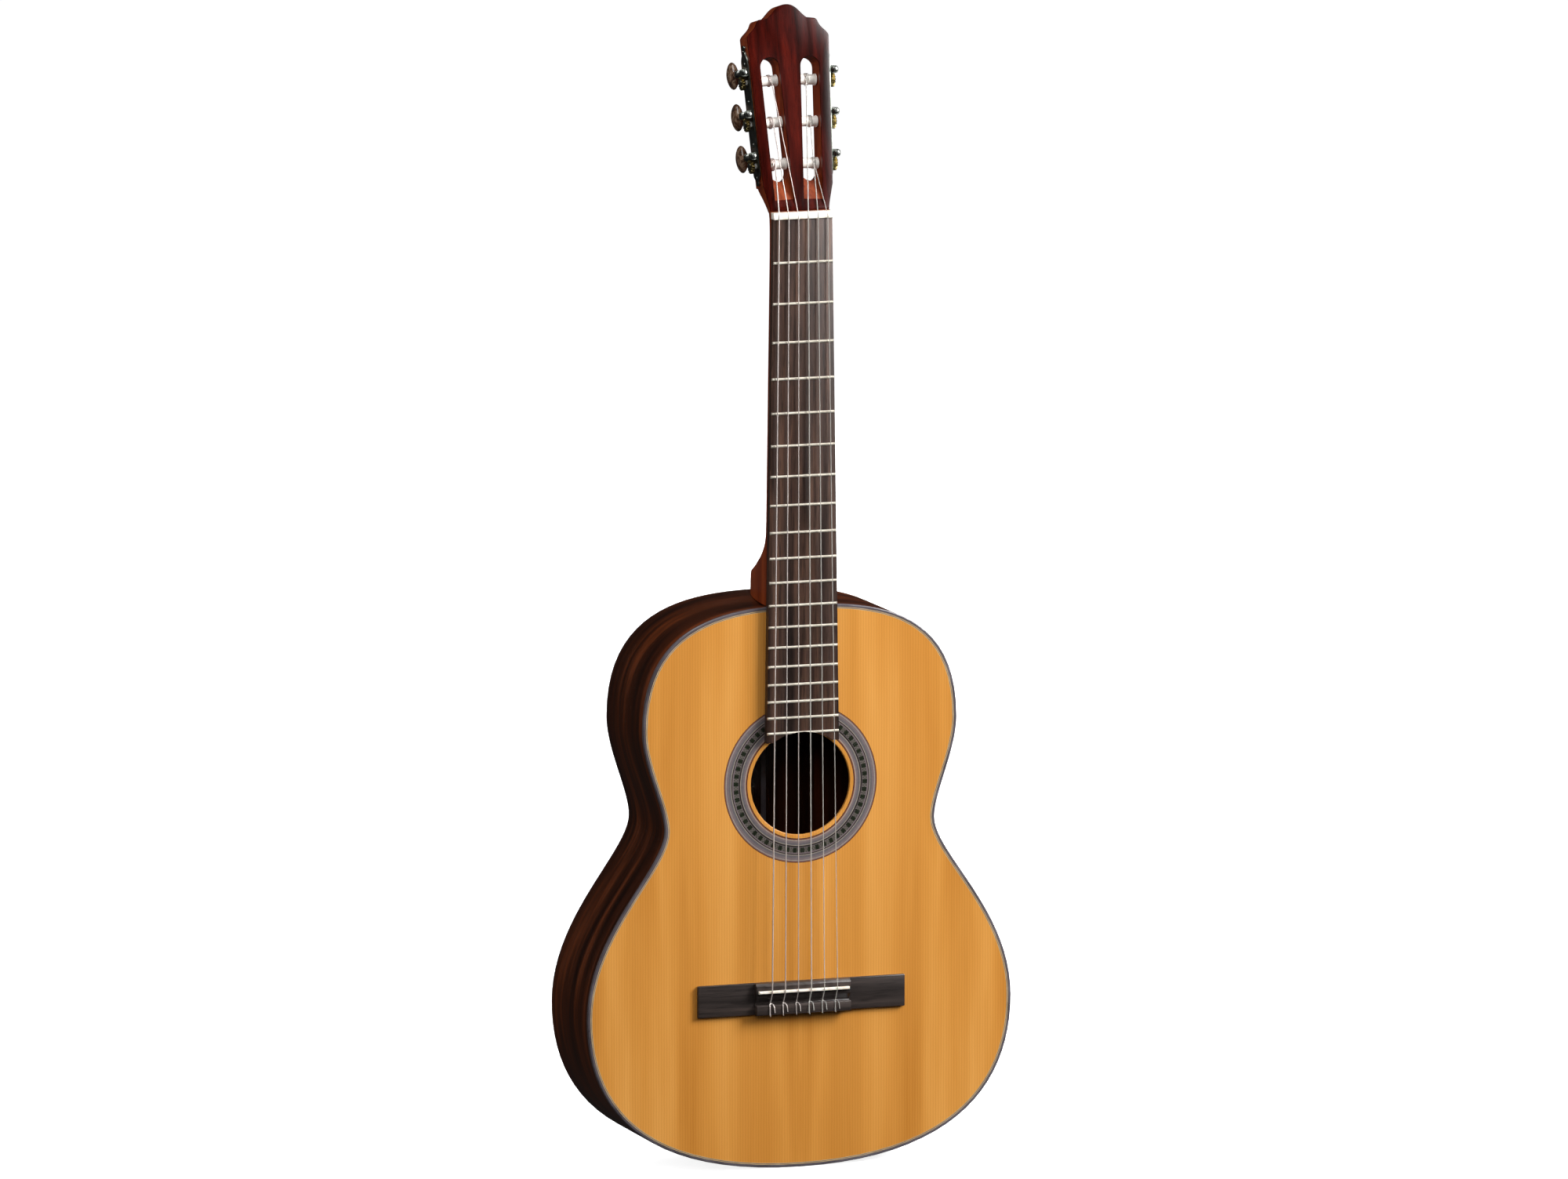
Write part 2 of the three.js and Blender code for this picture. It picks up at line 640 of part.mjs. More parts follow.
function tube(points, radius) {
  const section = new THREE.Shape(circle(radius, STRING_SIDES));
  const extrudePath = new Route(points);
  return new THREE.ExtrudeGeometry(section, { steps: points.length - 1, extrudePath, bevelEnabled: false });
}

// How far in from the head's side each string meets its roller: the lowest, the middle and the top one.
const STRING_FROM_SIDE = [14.5, 16.5, 19];

// The turns of a string on its roller, counted 0, 1 and 2 from the lowest, in the guitar's frame.
function windings(side, roller, from, radius) {
  const frame = machineInGuitar(side);
  const start = from.clone().applyMatrix4(frame.clone().invert());
  const axisZ = (roller - 1) * ROLLER_PITCH;
  const turnRadius = (ROLLER_RADIUS + radius + GAP) / Math.cos(Math.PI / STEPS_PER_STRING_TURN);
  const away = Math.hypot(start.y, axisZ - start.z);
  const first = Math.atan2(-start.y, axisZ - start.z) - Math.asin(turnRadius / away);
  const steps = STRING_TURNS * STEPS_PER_STRING_TURN;
  return Array.from({ length: steps + 1 }, (_, k) => {
    const turn = k / STEPS_PER_STRING_TURN;
    const angle = first + 2 * Math.PI * turn;
    const x = -side * (STRING_FROM_SIDE[roller] - turn * (2 * radius + GAP));
    const place = new THREE.Vector3(x, -turnRadius * Math.cos(angle), axisZ + turnRadius * Math.sin(angle));
    return place.applyMatrix4(frame);
  });
}

// One string, from the end of its tie at the bridge to its last turn on its roller.
function string(place) {
  const radius = STRING_DIAMETERS[place] / 2;
  const rest = radius + GAP;
  const bridgeX = stringX(place, SADDLE_STRING_SPREAD);
  const nutX = stringX(place, NUT_STRING_SPREAD);
  const tieTop = -TIE_BLOCK_HEIGHT - rest;
  const behind = BRIDGE.back - rest;
  const tie = [
    [2.2, tieTop + 1.2, BRIDGE.front - 17.2],
    [1.9, tieTop, BRIDGE.front - 18.6],
    [0.9, tieTop, BRIDGE.back + 0.4],
    [0.5, tieTop + 0.9, behind],
    [0, -TIE_HOLE_HEIGHT - 0.4, behind],
    [0, -TIE_HOLE_HEIGHT, BRIDGE.back],
    [0, -TIE_HOLE_HEIGHT, BRIDGE.front - 18.4],
  ].map(([x, y, z]) => new THREE.Vector3(bridgeX + x, y, z));
  const overSaddle = new THREE.Vector3(bridgeX, -SADDLE.height - rest, SADDLE.station);
  const onNut = new THREE.Vector3(nutX, -NUT_HEIGHT - rest, 0);
  const offNut = new THREE.Vector3(nutX * 0.99, -NUT_HEIGHT - rest + 0.6, NUT_LENGTH);
  const side = place < 3 ? -1 : 1;
  const roller = place < 3 ? place : 5 - place;
  const route = [...tie, overSaddle, onNut, offNut, ...windings(side, roller, offNut, radius)];
  return tube(route, radius);
}

const strings = new THREE.Group();
STRING_DIAMETERS.forEach((_, place) => {
  strings.add(part(`string_${6 - place}`, string(place), place < 3 ? "woundString" : "nylon"));
});

// ---- Tuning machines ----

function gear() {
  const pitchAngle = (2 * Math.PI) / GEAR_TEETH;
  const profile = [];
  for (let tooth = 0; tooth < GEAR_TEETH; tooth++) {
    const middle = Math.PI / 2 + (tooth + 0.5) * pitchAngle;
    [
      [-0.14, GEAR.root],
      [0, GEAR.tip],
      [0.14, GEAR.root],
    ].forEach(([offset, radius]) => {
      profile.push(point(radius * Math.cos(middle + offset), radius * Math.sin(middle + offset)));
    });
  }
  return prismAlongX(profile, -GEAR.width / 2, GEAR.width / 2, [circle(GEAR.bore, 8)]);
}

// A right-handed screw along y whose thread faces -z at y = 0, on a shaft with a knob at its front end.
function worm() {
  const steps = WORM.turns * WORM.stepsPerTurn;
  const thread = Array.from({ length: steps + 1 }, (_, k) => {
    const angle = Math.PI + 2 * Math.PI * (k / WORM.stepsPerTurn - WORM.turns / 2);
    const along = (WORM_LEAD * (angle - Math.PI)) / (2 * Math.PI);
    return [
      [WORM.core - 0.4, -0.6],
      [WORM.core - 0.4, 0.6],
      [WORM.tip, 0],
    ].map(([r, offset]) => new THREE.Vector3(r * Math.sin(angle), along + offset, r * Math.cos(angle)));
  });
  const shaft = new THREE.LatheGeometry(
    [
      [0, -10.4],
      [2.4, -10.2],
      [2.4, -8.2],
      [WORM.core, -8],
      [WORM.core, BUTTON.front + 4],
      [0, BUTTON.front + 4],
    ].map(([r, y]) => point(r, y)),
    8,
  );
  return join(shaft, loft(thread));
}

function button() {
  const { front, depth, halfThickness, halfLength } = BUTTON;
  const pad = new THREE.SphereGeometry(1, 10, 6);
  pad.scale(halfThickness, depth / 2, halfLength).translate(0, front + depth / 2, 0);
  return cut(pad, rodAlongY(WORM.core + GAP, front - OVERRUN, front + 4.5, 0, 0));
}

// The roller with its gear journal, its string sleeve and the journal that turns in the head's spine.
function roller(side) {
  const wall = SLOT.fromSide - SLOT.width / 2;
  const spine = wall + SLOT.width;
  const profile = [
    [0, -spine - 3.4],
    [JOURNAL_RADIUS, -spine - 3.4],
    [JOURNAL_RADIUS, 0.7 - spine],
    [ROLLER_RADIUS, 0.7 - spine],
    [ROLLER_RADIUS, -wall - 0.7],
    [JOURNAL_RADIUS, -wall - 0.7],
    [JOURNAL_RADIUS, WORM_FROM_SIDE - GEAR.width / 2 - GAP],
    [GEAR.bore - GAP, WORM_FROM_SIDE - GEAR.width / 2 - GAP],
    [GEAR.bore - GAP, WORM_FROM_SIDE + GEAR.width / 2 + 0.6],
    [0, WORM_FROM_SIDE + GEAR.width / 2 + 0.6],
  ].map(([r, along]) => point(r, along));
  return new THREE.LatheGeometry(profile, 10).rotateZ((-side * Math.PI) / 2);
}

// The plate along the head's side, with three roller holes and a pair of lugs for each worm.
function machinePlate(side) {
  const { thickness, halfWidth, bottom, top } = MACHINE_PLATE;
  const near = side * GAP;
  const far = side * (GAP + thickness);
  const end = new THREE.Path();
  end.moveTo(halfWidth, top - 14);
  end.bezierCurveTo(halfWidth - 1, top - 8, 2, top - 8, 3, top - 4);
  end.quadraticCurveTo(4, top, 0, top);
  const upper = end.getPoints(4);
  const lower = upper.map((p) => point(p.x, bottom + (top - p.y) * 0.7)).reverse();
  const right = [...lower, ...upper];
  const outlinePoints = [...right, ...mirrored(right).slice(1, -1)];
  const sheet = prismAlongX(outlinePoints, Math.min(near, far), Math.max(near, far));
  const reach = [side * (GAP + thickness / 2), side * LUG.reach].sort((a, b) => a - b);
  const stations = [-1, 0, 1].map((place) => place * ROLLER_PITCH);
  const lugs = stations.flatMap((z) => {
    const low = z + WORM_ABOVE_ROLLER - LUG.halfHeight;
    const high = z + WORM_ABOVE_ROLLER + LUG.halfHeight;
    return [
      box(...reach, -LUG.outer, -LUG.inner, low, high),
      box(...reach, LUG.inner, LUG.outer, low, high),
    ];
  });
  const wormX = side * WORM_FROM_SIDE;
  const bores = stations.flatMap((z) => [
    rodAlongX(JOURNAL_RADIUS + 0.4, side * -OVERRUN, side * OVERRUN, 0, z),
    rodAlongY(LUG.bore, -LUG.outer - OVERRUN, LUG.outer + OVERRUN, wormX, z + WORM_ABOVE_ROLLER),
  ]);
  return cut(join(sheet, ...lugs), ...bores);
}

// One machine: the plate and its three worms, buttons, gears and rollers, named by their string.
function machine(side, label, stringNumbers) {
  const group = new THREE.Group();
  group.applyMatrix4(machineFrame(side));
  group.add(part(`machine_plate_${label}`, machinePlate(side), "nickel"));
  stringNumbers.forEach((number, place) => {
    const z = (place - 1) * ROLLER_PITCH;
    const screw = part(`worm_${number}`, worm(), "nickel");
    const pad = part(`button_${number}`, button(), "button");
    const wheel = part(`gear_${number}`, gear(), "brass");
    const drum = part(`roller_${number}`, roller(side), "roller");
    screw.position.set(side * WORM_FROM_SIDE, 0, z + WORM_ABOVE_ROLLER);
    pad.position.copy(screw.position);
    wheel.position.set(side * WORM_FROM_SIDE, 0, z);
    drum.position.set(0, 0, z);
    group.add(screw, pad, wheel, drum);
  });
  return group;
}

const machines = new THREE.Group();
machines.rotation.x = -HEAD_TILT;
machines.add(machine(-1, "bass", [6, 5, 4]), machine(1, "treble", [1, 2, 3]));

const guitar = new THREE.Group();
guitar.add(body, neckGroup, bridgeGroup, strings, machines);

export default guitar;
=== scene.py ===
# Classical guitar, finished for the studio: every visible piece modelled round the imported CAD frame.
# Sizes are in millimetres and the frame in metres: strings along Z, soundboard facing -Y, treble side +X.
from math import asin, atan2, cos, hypot, pi, radians, sin, sqrt, tan

import bmesh
import bpy
from mathutils import Matrix, Vector


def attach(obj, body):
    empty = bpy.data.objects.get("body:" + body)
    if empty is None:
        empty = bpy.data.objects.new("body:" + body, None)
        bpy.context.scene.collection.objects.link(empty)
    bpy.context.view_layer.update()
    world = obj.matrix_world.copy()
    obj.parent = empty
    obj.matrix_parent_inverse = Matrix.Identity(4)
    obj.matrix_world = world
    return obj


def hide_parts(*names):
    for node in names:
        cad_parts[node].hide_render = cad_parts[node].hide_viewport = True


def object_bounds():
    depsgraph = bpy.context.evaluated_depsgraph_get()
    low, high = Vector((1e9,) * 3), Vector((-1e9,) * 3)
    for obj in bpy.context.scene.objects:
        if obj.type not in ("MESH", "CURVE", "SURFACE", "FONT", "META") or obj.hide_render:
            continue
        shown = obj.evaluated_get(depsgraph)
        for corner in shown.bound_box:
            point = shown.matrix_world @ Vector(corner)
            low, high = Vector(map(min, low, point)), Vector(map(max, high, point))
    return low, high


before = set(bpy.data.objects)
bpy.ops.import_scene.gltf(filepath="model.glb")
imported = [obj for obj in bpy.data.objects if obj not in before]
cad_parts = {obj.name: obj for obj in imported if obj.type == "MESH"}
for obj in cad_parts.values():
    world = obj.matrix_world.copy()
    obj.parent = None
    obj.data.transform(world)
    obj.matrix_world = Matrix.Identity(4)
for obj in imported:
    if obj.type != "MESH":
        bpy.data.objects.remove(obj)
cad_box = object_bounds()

MM = 0.001

# ---- Camera ----
# A long lens some twelve metres off, in front of the guitar on its bass side, looking slightly down.
# It stands over a metre above the guitar's head.

CAMERA_PLACE = (-3.926, -11.188, 1.497)
CAMERA_TURN = (radians(81.32), 0, radians(-19.27))

bpy.ops.object.camera_add(location=CAMERA_PLACE, rotation=CAMERA_TURN)
camera = bpy.context.object
camera.name = "studio_camera"
camera.data.lens = 329.4
camera.data.sensor_width = 36
camera.data.clip_end = 300
bpy.context.scene.camera = camera

# ---- Studio ----
# A plain white floor that runs out past the view, a broad key from the treble side, and softboxes in
# front, above and behind. The floor is kept out of reflections, so that dark lacquer stays dark.

FLOOR_LEVEL = cad_box[0][2] - 0.2 * MM
WHITE = (1, 1, 1)


def wire_up(finish, node, sockets):
    """Sets a node's inputs, by name or number, each to a value or to another node's output."""
    for socket, value in sockets.items():
        if isinstance(value, bpy.types.NodeSocket):
            finish.node_tree.links.new(value, node.inputs[socket])
        else:
            node.inputs[socket].default_value = value


def shader_node(finish, kind, sockets=(), output=0, **settings):
    """Adds one node to a finish, wires it up and gives back one of its outputs."""
    node = finish.node_tree.nodes.new("ShaderNode" + kind)
    for setting, value in settings.items():
        setattr(node, setting, value)
    wire_up(finish, node, dict(sockets))
    return node.outputs[output]


def new_finish(name):
    """An empty finish and the socket that tells each point's place."""
    finish = bpy.data.materials.new(name)
    finish.use_nodes = True
    return finish, shader_node(finish, "TexCoord", output="Object")


def surfaced(finish, sockets):
    """Sets the surface shader of a finish, the last step of each."""
    wire_up(finish, finish.node_tree.nodes["Principled BSDF"], sockets)
    return finish


def noise(finish, place, scale, detail=2.0, **more):
    """Cloudy figure from 0 to 1."""
    return shader_node(finish, "TexNoise", {"Vector": place, "Scale": scale, "Detail": detail, **more}, "Fac")


def ramp(finish, share, stops, interpolation="LINEAR"):
    """Turns a share into a colour, from a list of positions and colours."""
    tone = shader_node(finish, "ValToRGB", {"Fac": share})
    bands = tone.node.color_ramp
    bands.interpolation = interpolation
    while len(bands.elements) < len(stops):
        bands.elements.new(0.5)
    for element, (position, colour) in zip(bands.elements, stops):
        element.position = position
        element.color = (*colour, 1)
    return tone


def between(finish, share, low, high):
    return shader_node(finish, "MapRange", {"Value": share, "To Min": low, "To Max": high})


def plain_floor():
    finish, place = new_finish("white_floor")
    greys = [(0, (0.80, 0.80, 0.80)), (1, (0.84, 0.84, 0.84))]
    return surfaced(finish, {
        "Base Color": ramp(finish, noise(finish, place, 3.0), greys),
        "Roughness": 0.9,
        "Emission Color": (*WHITE, 1),
        "Emission Strength": 0.86,
    })


def primitive(name, add, **settings):
    """Adds a primitive with nothing else selected, and names it."""
    bpy.ops.object.select_all(action="DESELECT")
    add(**settings)
    bpy.context.object.name = name
    return bpy.context.object


floor = primitive("studio_floor", bpy.ops.mesh.primitive_plane_add, size=160, location=(0, 0, FLOOR_LEVEL))
floor.data.materials.append(plain_floor())
floor.visible_glossy = False
floor.visible_diffuse = False

world = bpy.data.worlds.new("studio_world")
world.use_nodes = True
backdrop = world.node_tree.nodes["Background"].inputs
backdrop["Color"].default_value = (*WHITE, 1)
backdrop["Strength"].default_value = 0.02
bpy.context.scene.world = world
bpy.context.scene.view_settings.view_transform = "Standard"

GUITAR_MIDDLE = Vector((0, 0, -0.35))


def softbox(name, place, width, height, power, mirrored=True):
    """A rectangular light that faces the middle of the guitar. Polish only shows the mirrored ones."""
    turn = (GUITAR_MIDDLE - Vector(place)).to_track_quat("-Z", "Y").to_euler()
    bpy.ops.object.light_add(type="AREA", location=place, rotation=turn)
    light = bpy.context.object
    light.name = name
    light.data.shape = "RECTANGLE"
    light.data.size = width
    light.data.size_y = height
    light.data.energy = power
    light.visible_glossy = mirrored


softbox("key_softbox", (1.95, -1.3, 0.95), 1.0, 1.4, 132)
softbox("front_softbox", (-1.7, -4.6, 1.7), 2.2, 1.6, 60, mirrored=False)
softbox("top_softbox", (-0.6, -0.7, 2.3), 1.6, 1.2, 30)
softbox("bass_fill", (-3.2, -1.4, 0.2), 1.2, 1.8, 16, mirrored=False)
softbox("back_softbox", (1.8, 3.6, 1.2), 2.4, 2.0, 120, mirrored=False)
softbox("back_fill", (-2.6, 3.2, 0.4), 2.0, 2.0, 60, mirrored=False)
bpy.ops.object.light_add(type="SUN", rotation=(radians(48), 0, radians(28)))
sun = bpy.context.object
sun.name = "ceiling_light"
sun.data.energy = 0.8
sun.visible_glossy = False
sun.data.angle = radians(40)

# ---- Soundboard ----
# Two book-matched halves of straight-grained cedar, glued along the middle, sanded flat and lacquered.
# The soundhole's edge is eased by hand, and a channel round it takes the rosette.

BODY_TOP = -325.8
BODY_LENGTH = 478.5
BODY_BOTTOM = BODY_TOP - BODY_LENGTH
BODY_DEPTH = 97
PLATE_THICKNESS = 2.5
BINDING_WIDTH = 4
LOWER_BOUT = {"half_width": 188.3, "height": 136, "reach": 73}
WAIST = {"half_width": 119.5, "height": 292, "reach_down": 31, "reach_up": 21}
UPPER_BOUT = {"half_width": 139.2, "height": 377, "reach": 29}
TAIL_REACH = 144
SHOULDER = {"drop": 6, "reach": 60}
OUTLINE_POINTS_PER_CURVE = 22
HOLE = {"station": -477, "radius": 43.9}
ROSETTE = {"inner": 47.2, "outer": 67.8, "depth": 1.2}
ROUND_POINTS = 112


def draw_body_outline(name):
    """The body's outline as a closed wire at y = 0, drawn as a curve of eight points."""
    lower_x, lower_z, lower_reach = LOWER_BOUT["half_width"], LOWER_BOUT["height"], LOWER_BOUT["reach"]
    waist_x, waist_z = WAIST["half_width"], WAIST["height"]
    upper_x, upper_z, upper_reach = UPPER_BOUT["half_width"], UPPER_BOUT["height"], UPPER_BOUT["reach"]
    half = [
        ((-TAIL_REACH, 0), (0, 0), (TAIL_REACH, 0)),
        ((lower_x, lower_z - lower_reach), (lower_x, lower_z), (lower_x, lower_z + lower_reach)),
        ((waist_x, waist_z - WAIST["reach_down"]), (waist_x, waist_z),
         (waist_x, waist_z + WAIST["reach_up"])),
        ((upper_x, upper_z - upper_reach), (upper_x, upper_z), (upper_x, BODY_LENGTH - SHOULDER["drop"])),
        ((SHOULDER["reach"], BODY_LENGTH), (0, BODY_LENGTH), (-SHOULDER["reach"], BODY_LENGTH)),
    ]
    other_half = [tuple((-x, z) for x, z in reversed(point)) for point in reversed(half[1:4])]
    outline = primitive(name, bpy.ops.curve.primitive_bezier_circle_add, radius=1)
    outline.data.resolution_u = OUTLINE_POINTS_PER_CURVE
    spline = outline.data.splines[0]
    spline.bezier_points.add(4)
    for point, (before, middle, after) in zip(spline.bezier_points, half + other_half):
        point.handle_left_type = point.handle_right_type = "FREE"
        point.handle_left = (before[0] * MM, 0, (BODY_BOTTOM + before[1]) * MM)
        point.co = (middle[0] * MM, 0, (BODY_BOTTOM + middle[1]) * MM)
        point.handle_right = (after[0] * MM, 0, (BODY_BOTTOM + after[1]) * MM)
    bpy.ops.object.convert(target="MESH")
    return bpy.context.object


def select_parts(piece, kind, test):
    """In edit mode, selects only the vertices, edges or faces ("VERT", "EDGE", "FACE") that pass the test."""
    bpy.ops.mesh.select_mode(type=kind)
    bpy.ops.mesh.select_all(action="DESELECT")
    shape = bmesh.from_edit_mesh(piece.data)
    for part in {"VERT": shape.verts, "EDGE": shape.edges, "FACE": shape.faces}[kind]:
        if test(part):
            part.select_set(True)
    shape.select_flush_mode()
    bmesh.update_edit_mesh(piece.data)


def open_mesh(kind):
    """Starts edit mode with all of a piece's vertices, edges or faces selected."""
    bpy.ops.object.mode_set(mode="EDIT")
    bpy.ops.mesh.select_mode(type=kind)
    bpy.ops.mesh.select_all(action="SELECT")


def close_mesh():
    """Turns all faces outwards and ends edit mode."""
    bpy.ops.mesh.select_all(action="SELECT")
    bpy.ops.mesh.normals_make_consistent(inside=False)
    bpy.ops.object.mode_set(mode="OBJECT")


def draw_out(push):
    """In edit mode, extrudes what is selected."""
    bpy.ops.mesh.extrude_region_move(TRANSFORM_OT_translate={"value": push})


def body_sheet(name, outer, inner=None):
    """A flat sheet cut to the body's outline less outer mm, with an opening inner mm in if one is given."""
    sheet = draw_body_outline(name)
    open_mesh("FACE")
    bpy.ops.mesh.edge_face_add()
    bpy.ops.mesh.select_all(action="SELECT")
    if outer:
        bpy.ops.mesh.inset(thickness=outer * MM)
        bpy.ops.mesh.select_all(action="INVERT")
        bpy.ops.mesh.delete(type="FACE")
        bpy.ops.mesh.select_all(action="SELECT")
    if inner:
        bpy.ops.mesh.inset(thickness=(inner - outer) * MM)
        bpy.ops.mesh.delete(type="FACE")
        bpy.ops.mesh.select_all(action="SELECT")
    return sheet


def thicken(piece, front, back):
    """In edit mode, moves the selected flat sheet to the front station and draws it out to the back one."""
    bpy.ops.transform.translate(value=(0, front * MM, 0))
    draw_out((0, (back - front) * MM, 0))
    close_mesh()


def pick(piece):
    """Selects one piece alone and makes it the active one."""
    bpy.ops.object.select_all(action="DESELECT")
    piece.select_set(True)
    bpy.context.view_layer.objects.active = piece


def reshape(piece, kind, **settings):
    """Gives a piece one modifier and applies it."""
    pick(piece)
    modifier = piece.modifiers.new(kind.lower(), kind)
    for setting, value in settings.items():
        setattr(modifier, setting, value)
    bpy.ops.object.modifier_apply(modifier=modifier.name)


def ease_edges(piece, width, segments=2, angle=40):
    """Rounds every edge sharper than the angle."""
    reshape(
        piece, "BEVEL", width=width * MM, segments=segments, limit_method="ANGLE", angle_limit=radians(angle)
    )


def smooth(piece, angle=30):
    pick(piece)
    bpy.ops.object.shade_smooth_by_angle(angle=radians(angle))
    return piece


def fit(piece, finish, slot, body="root", nodes=()):
    """Gives a finished piece its finish, the body it rides on and the CAD nodes it stands for."""
    piece.data.materials.clear()
    piece.data.materials.append(finish)
    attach(piece, body)
    if nodes:
        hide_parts(*nodes)


def times(finish, share, colour, shade):
    """Darkens a colour by a shade, in full when the share is 1."""
    sockets = {0: share, 6: colour, 7: shade}
    return shader_node(finish, "Mix", sockets, 2, data_type="RGBA", blend_type="MULTIPLY")


def parted(finish, place):
    """A place's x, y and z as three sockets."""
    return shader_node(finish, "SeparateXYZ", {0: place}).node.outputs[:]


def bumped(finish, height, strength, distance=0.0001):
    return shader_node(finish, "Bump", {"Strength": strength, "Distance": distance, "Height": height})


def wood(
    name, colours, across, lines=0.0, matched=False, pores=0.0, gloss=0.25, coat=0.5, relief=0.08, shine=0.5
):
    """Wood from dark to light colours. across is how fast the figure changes along x, y and z, per metre.
    lines is the number of growth rings per metre, and matched mirrors the figure about the middle joint."""
    finish, place = new_finish(name)
    if matched:
        x, y, z = parted(finish, place)
        folded = shader_node(finish, "Math", {0: x}, operation="ABSOLUTE")
        place = shader_node(finish, "CombineXYZ", {0: folded, 1: y, 2: z})
    stretched = shader_node(finish, "Mapping", {"Vector": place, "Scale": across})
    figure = noise(finish, stretched, 1.0, 4.0, Roughness=0.55, Distortion=0.35)
    darkest, lightest = 0.32, 0.70
    step = (lightest - darkest) / (len(colours) - 1)
    colour = ramp(finish, figure, [(darkest + step * index, tone) for index, tone in enumerate(colours)])
    finer = tuple(8 * step for step in across)
    fibres = shader_node(finish, "Mapping", {"Vector": place, "Scale": finer})
    fibre = noise(finish, fibres, 1.0, 3.0, Roughness=0.6)
    if lines:
        ring_sockets = {
            "Vector": place, "Scale": lines * pi / 10, "Distortion": 1.2, "Detail": 2.0, "Detail Scale": 0.6,
        }
        rings = shader_node(finish, "TexWave", ring_sockets, "Fac", wave_type="BANDS", bands_direction="X")
        colour = times(finish, 0.75, colour, ramp(finish, rings, [(0, (0.86, 0.80, 0.72)), (0.45, WHITE)]))
    if pores:
        dark_pores = (1 - pores, 1 - pores, 1 - pores)
        colour = times(finish, 1.0, colour, ramp(finish, fibre, [(0.36, dark_pores), (0.48, WHITE)]))
    return surfaced(finish, {
        "Base Color": colour,
        "Roughness": between(finish, figure, gloss * 0.8, gloss * 1.3),
        "Specular IOR Level": shine,
        "Normal": bumped(finish, fibre, relief, 0.0002),
        "Coat Weight": coat,
        "Coat Roughness": 0.12,
    })
cedar = wood(
    "lacquered_cedar",
    [(0.48, 0.188, 0.027), (0.585, 0.252, 0.045), (0.68, 0.322, 0.072)],
    across=(26, 5, 1.6),
    lines=430,
    matched=True,
    gloss=0.34,
    coat=0.3,
    relief=0.03,
)


def add_circle(radius, fill_type="NOTHING"):
    """Adds a circle about the soundhole's middle, facing the front, and leaves it selected."""
    bpy.ops.mesh.primitive_circle_add(
        vertices=ROUND_POINTS, radius=radius * MM, fill_type=fill_type,
        location=(0, 0, HOLE["station"] * MM), rotation=(pi / 2, 0, 0),
    )


def from_hole_middle(vector):
    return hypot(vector.x, vector.z - HOLE["station"] * MM) / MM


def on_circles(edge, *radii):
    """Whether both ends of an edge lie on circles of these radii about the soundhole."""
    return all(any(abs(from_hole_middle(v.co) - radius) < 0.1 for radius in radii) for v in edge.verts)


def in_front(place):
    return abs(place.y) < 0.1 * MM


def in_channel(face):
    middle = face.calc_center_median()
    return ROSETTE["inner"] < from_hole_middle(middle) < ROSETTE["outer"] and in_front(middle)


def soundboard_plate():
    plate = body_sheet("soundboard_plate", BINDING_WIDTH)
    bpy.ops.mesh.delete(type="ONLY_FACE")
    hole, inner, outer = HOLE["radius"], ROSETTE["inner"], ROSETTE["outer"]
    for radius in (outer, inner, hole):
        add_circle(radius)
    select_parts(plate, "EDGE", lambda e: from_hole_middle(e.verts[0].co) > outer - 1)
    bpy.ops.mesh.fill()
    for pair in ((outer, inner), (inner, hole)):
        select_parts(plate, "EDGE", lambda e: on_circles(e, *pair) and len(e.link_faces) < 2)
        bpy.ops.mesh.bridge_edge_loops()
    bpy.ops.mesh.select_mode(type="FACE")
    bpy.ops.mesh.select_all(action="SELECT")
    thicken(plate, 0, PLATE_THICKNESS)
    bpy.ops.object.mode_set(mode="EDIT")
    select_parts(plate, "FACE", in_channel)
    draw_out((0, ROSETTE["depth"] * MM, 0))
    select_parts(plate, "EDGE", lambda e: on_circles(e, hole) and all(in_front(v.co) for v in e.verts))
    bpy.ops.mesh.bevel(offset=0.5 * MM, segments=3)
    close_mesh()
    return smooth(plate, 35)


fit(soundboard_plate(), cedar, "top_wood", nodes=["soundboard"])

# ---- Rosette ----
# A ring of mosaic tiles between two bands of thin dyed veneers, inlaid flush in the channel.
# Each tile is a wedge cut from glued sticks, so its face is end grain.

TILE_RING = {"inner": 55.0, "outer": 59.4, "bed": 0.7, "tiles": 90, "joint": 0.12}
DASHES = 54
MOSAIC_SQUARE = 1.45
INLAY_LACQUER = {"Coat Weight": 0.35, "Coat Roughness": 0.12}


def ring_inlay(name, inner, outer, front, back):
    """A flat round ring about the soundhole."""
    ring = primitive(name, add_circle, radius=outer, fill_type="NGON")
    bpy.ops.object.transform_apply()
    open_mesh("FACE")
    bpy.ops.mesh.inset(thickness=(outer - inner) * MM)
    bpy.ops.mesh.delete(type="FACE")
    bpy.ops.mesh.select_all(action="SELECT")
    thicken(ring, front, back)
    return ring


def polar_place(finish, place):
    """The distance from the soundhole's middle and the angle round it, as two sockets."""
    from_hole = shader_node(finish, "Mapping", {"Vector": place, "Location": (0, 0, -HOLE["station"] * MM)})
    x, y, z = parted(finish, from_hole)
    x_squared = shader_node(finish, "Math", {0: x, 1: x}, operation="MULTIPLY")
    squares = shader_node(finish, "Math", {0: z, 1: z, 2: x_squared}, operation="MULTIPLY_ADD")
    distance = shader_node(finish, "Math", {0: squares}, operation="SQRT")
    return distance, shader_node(finish, "Math", {0: z, 1: x}, operation="ARCTAN2")


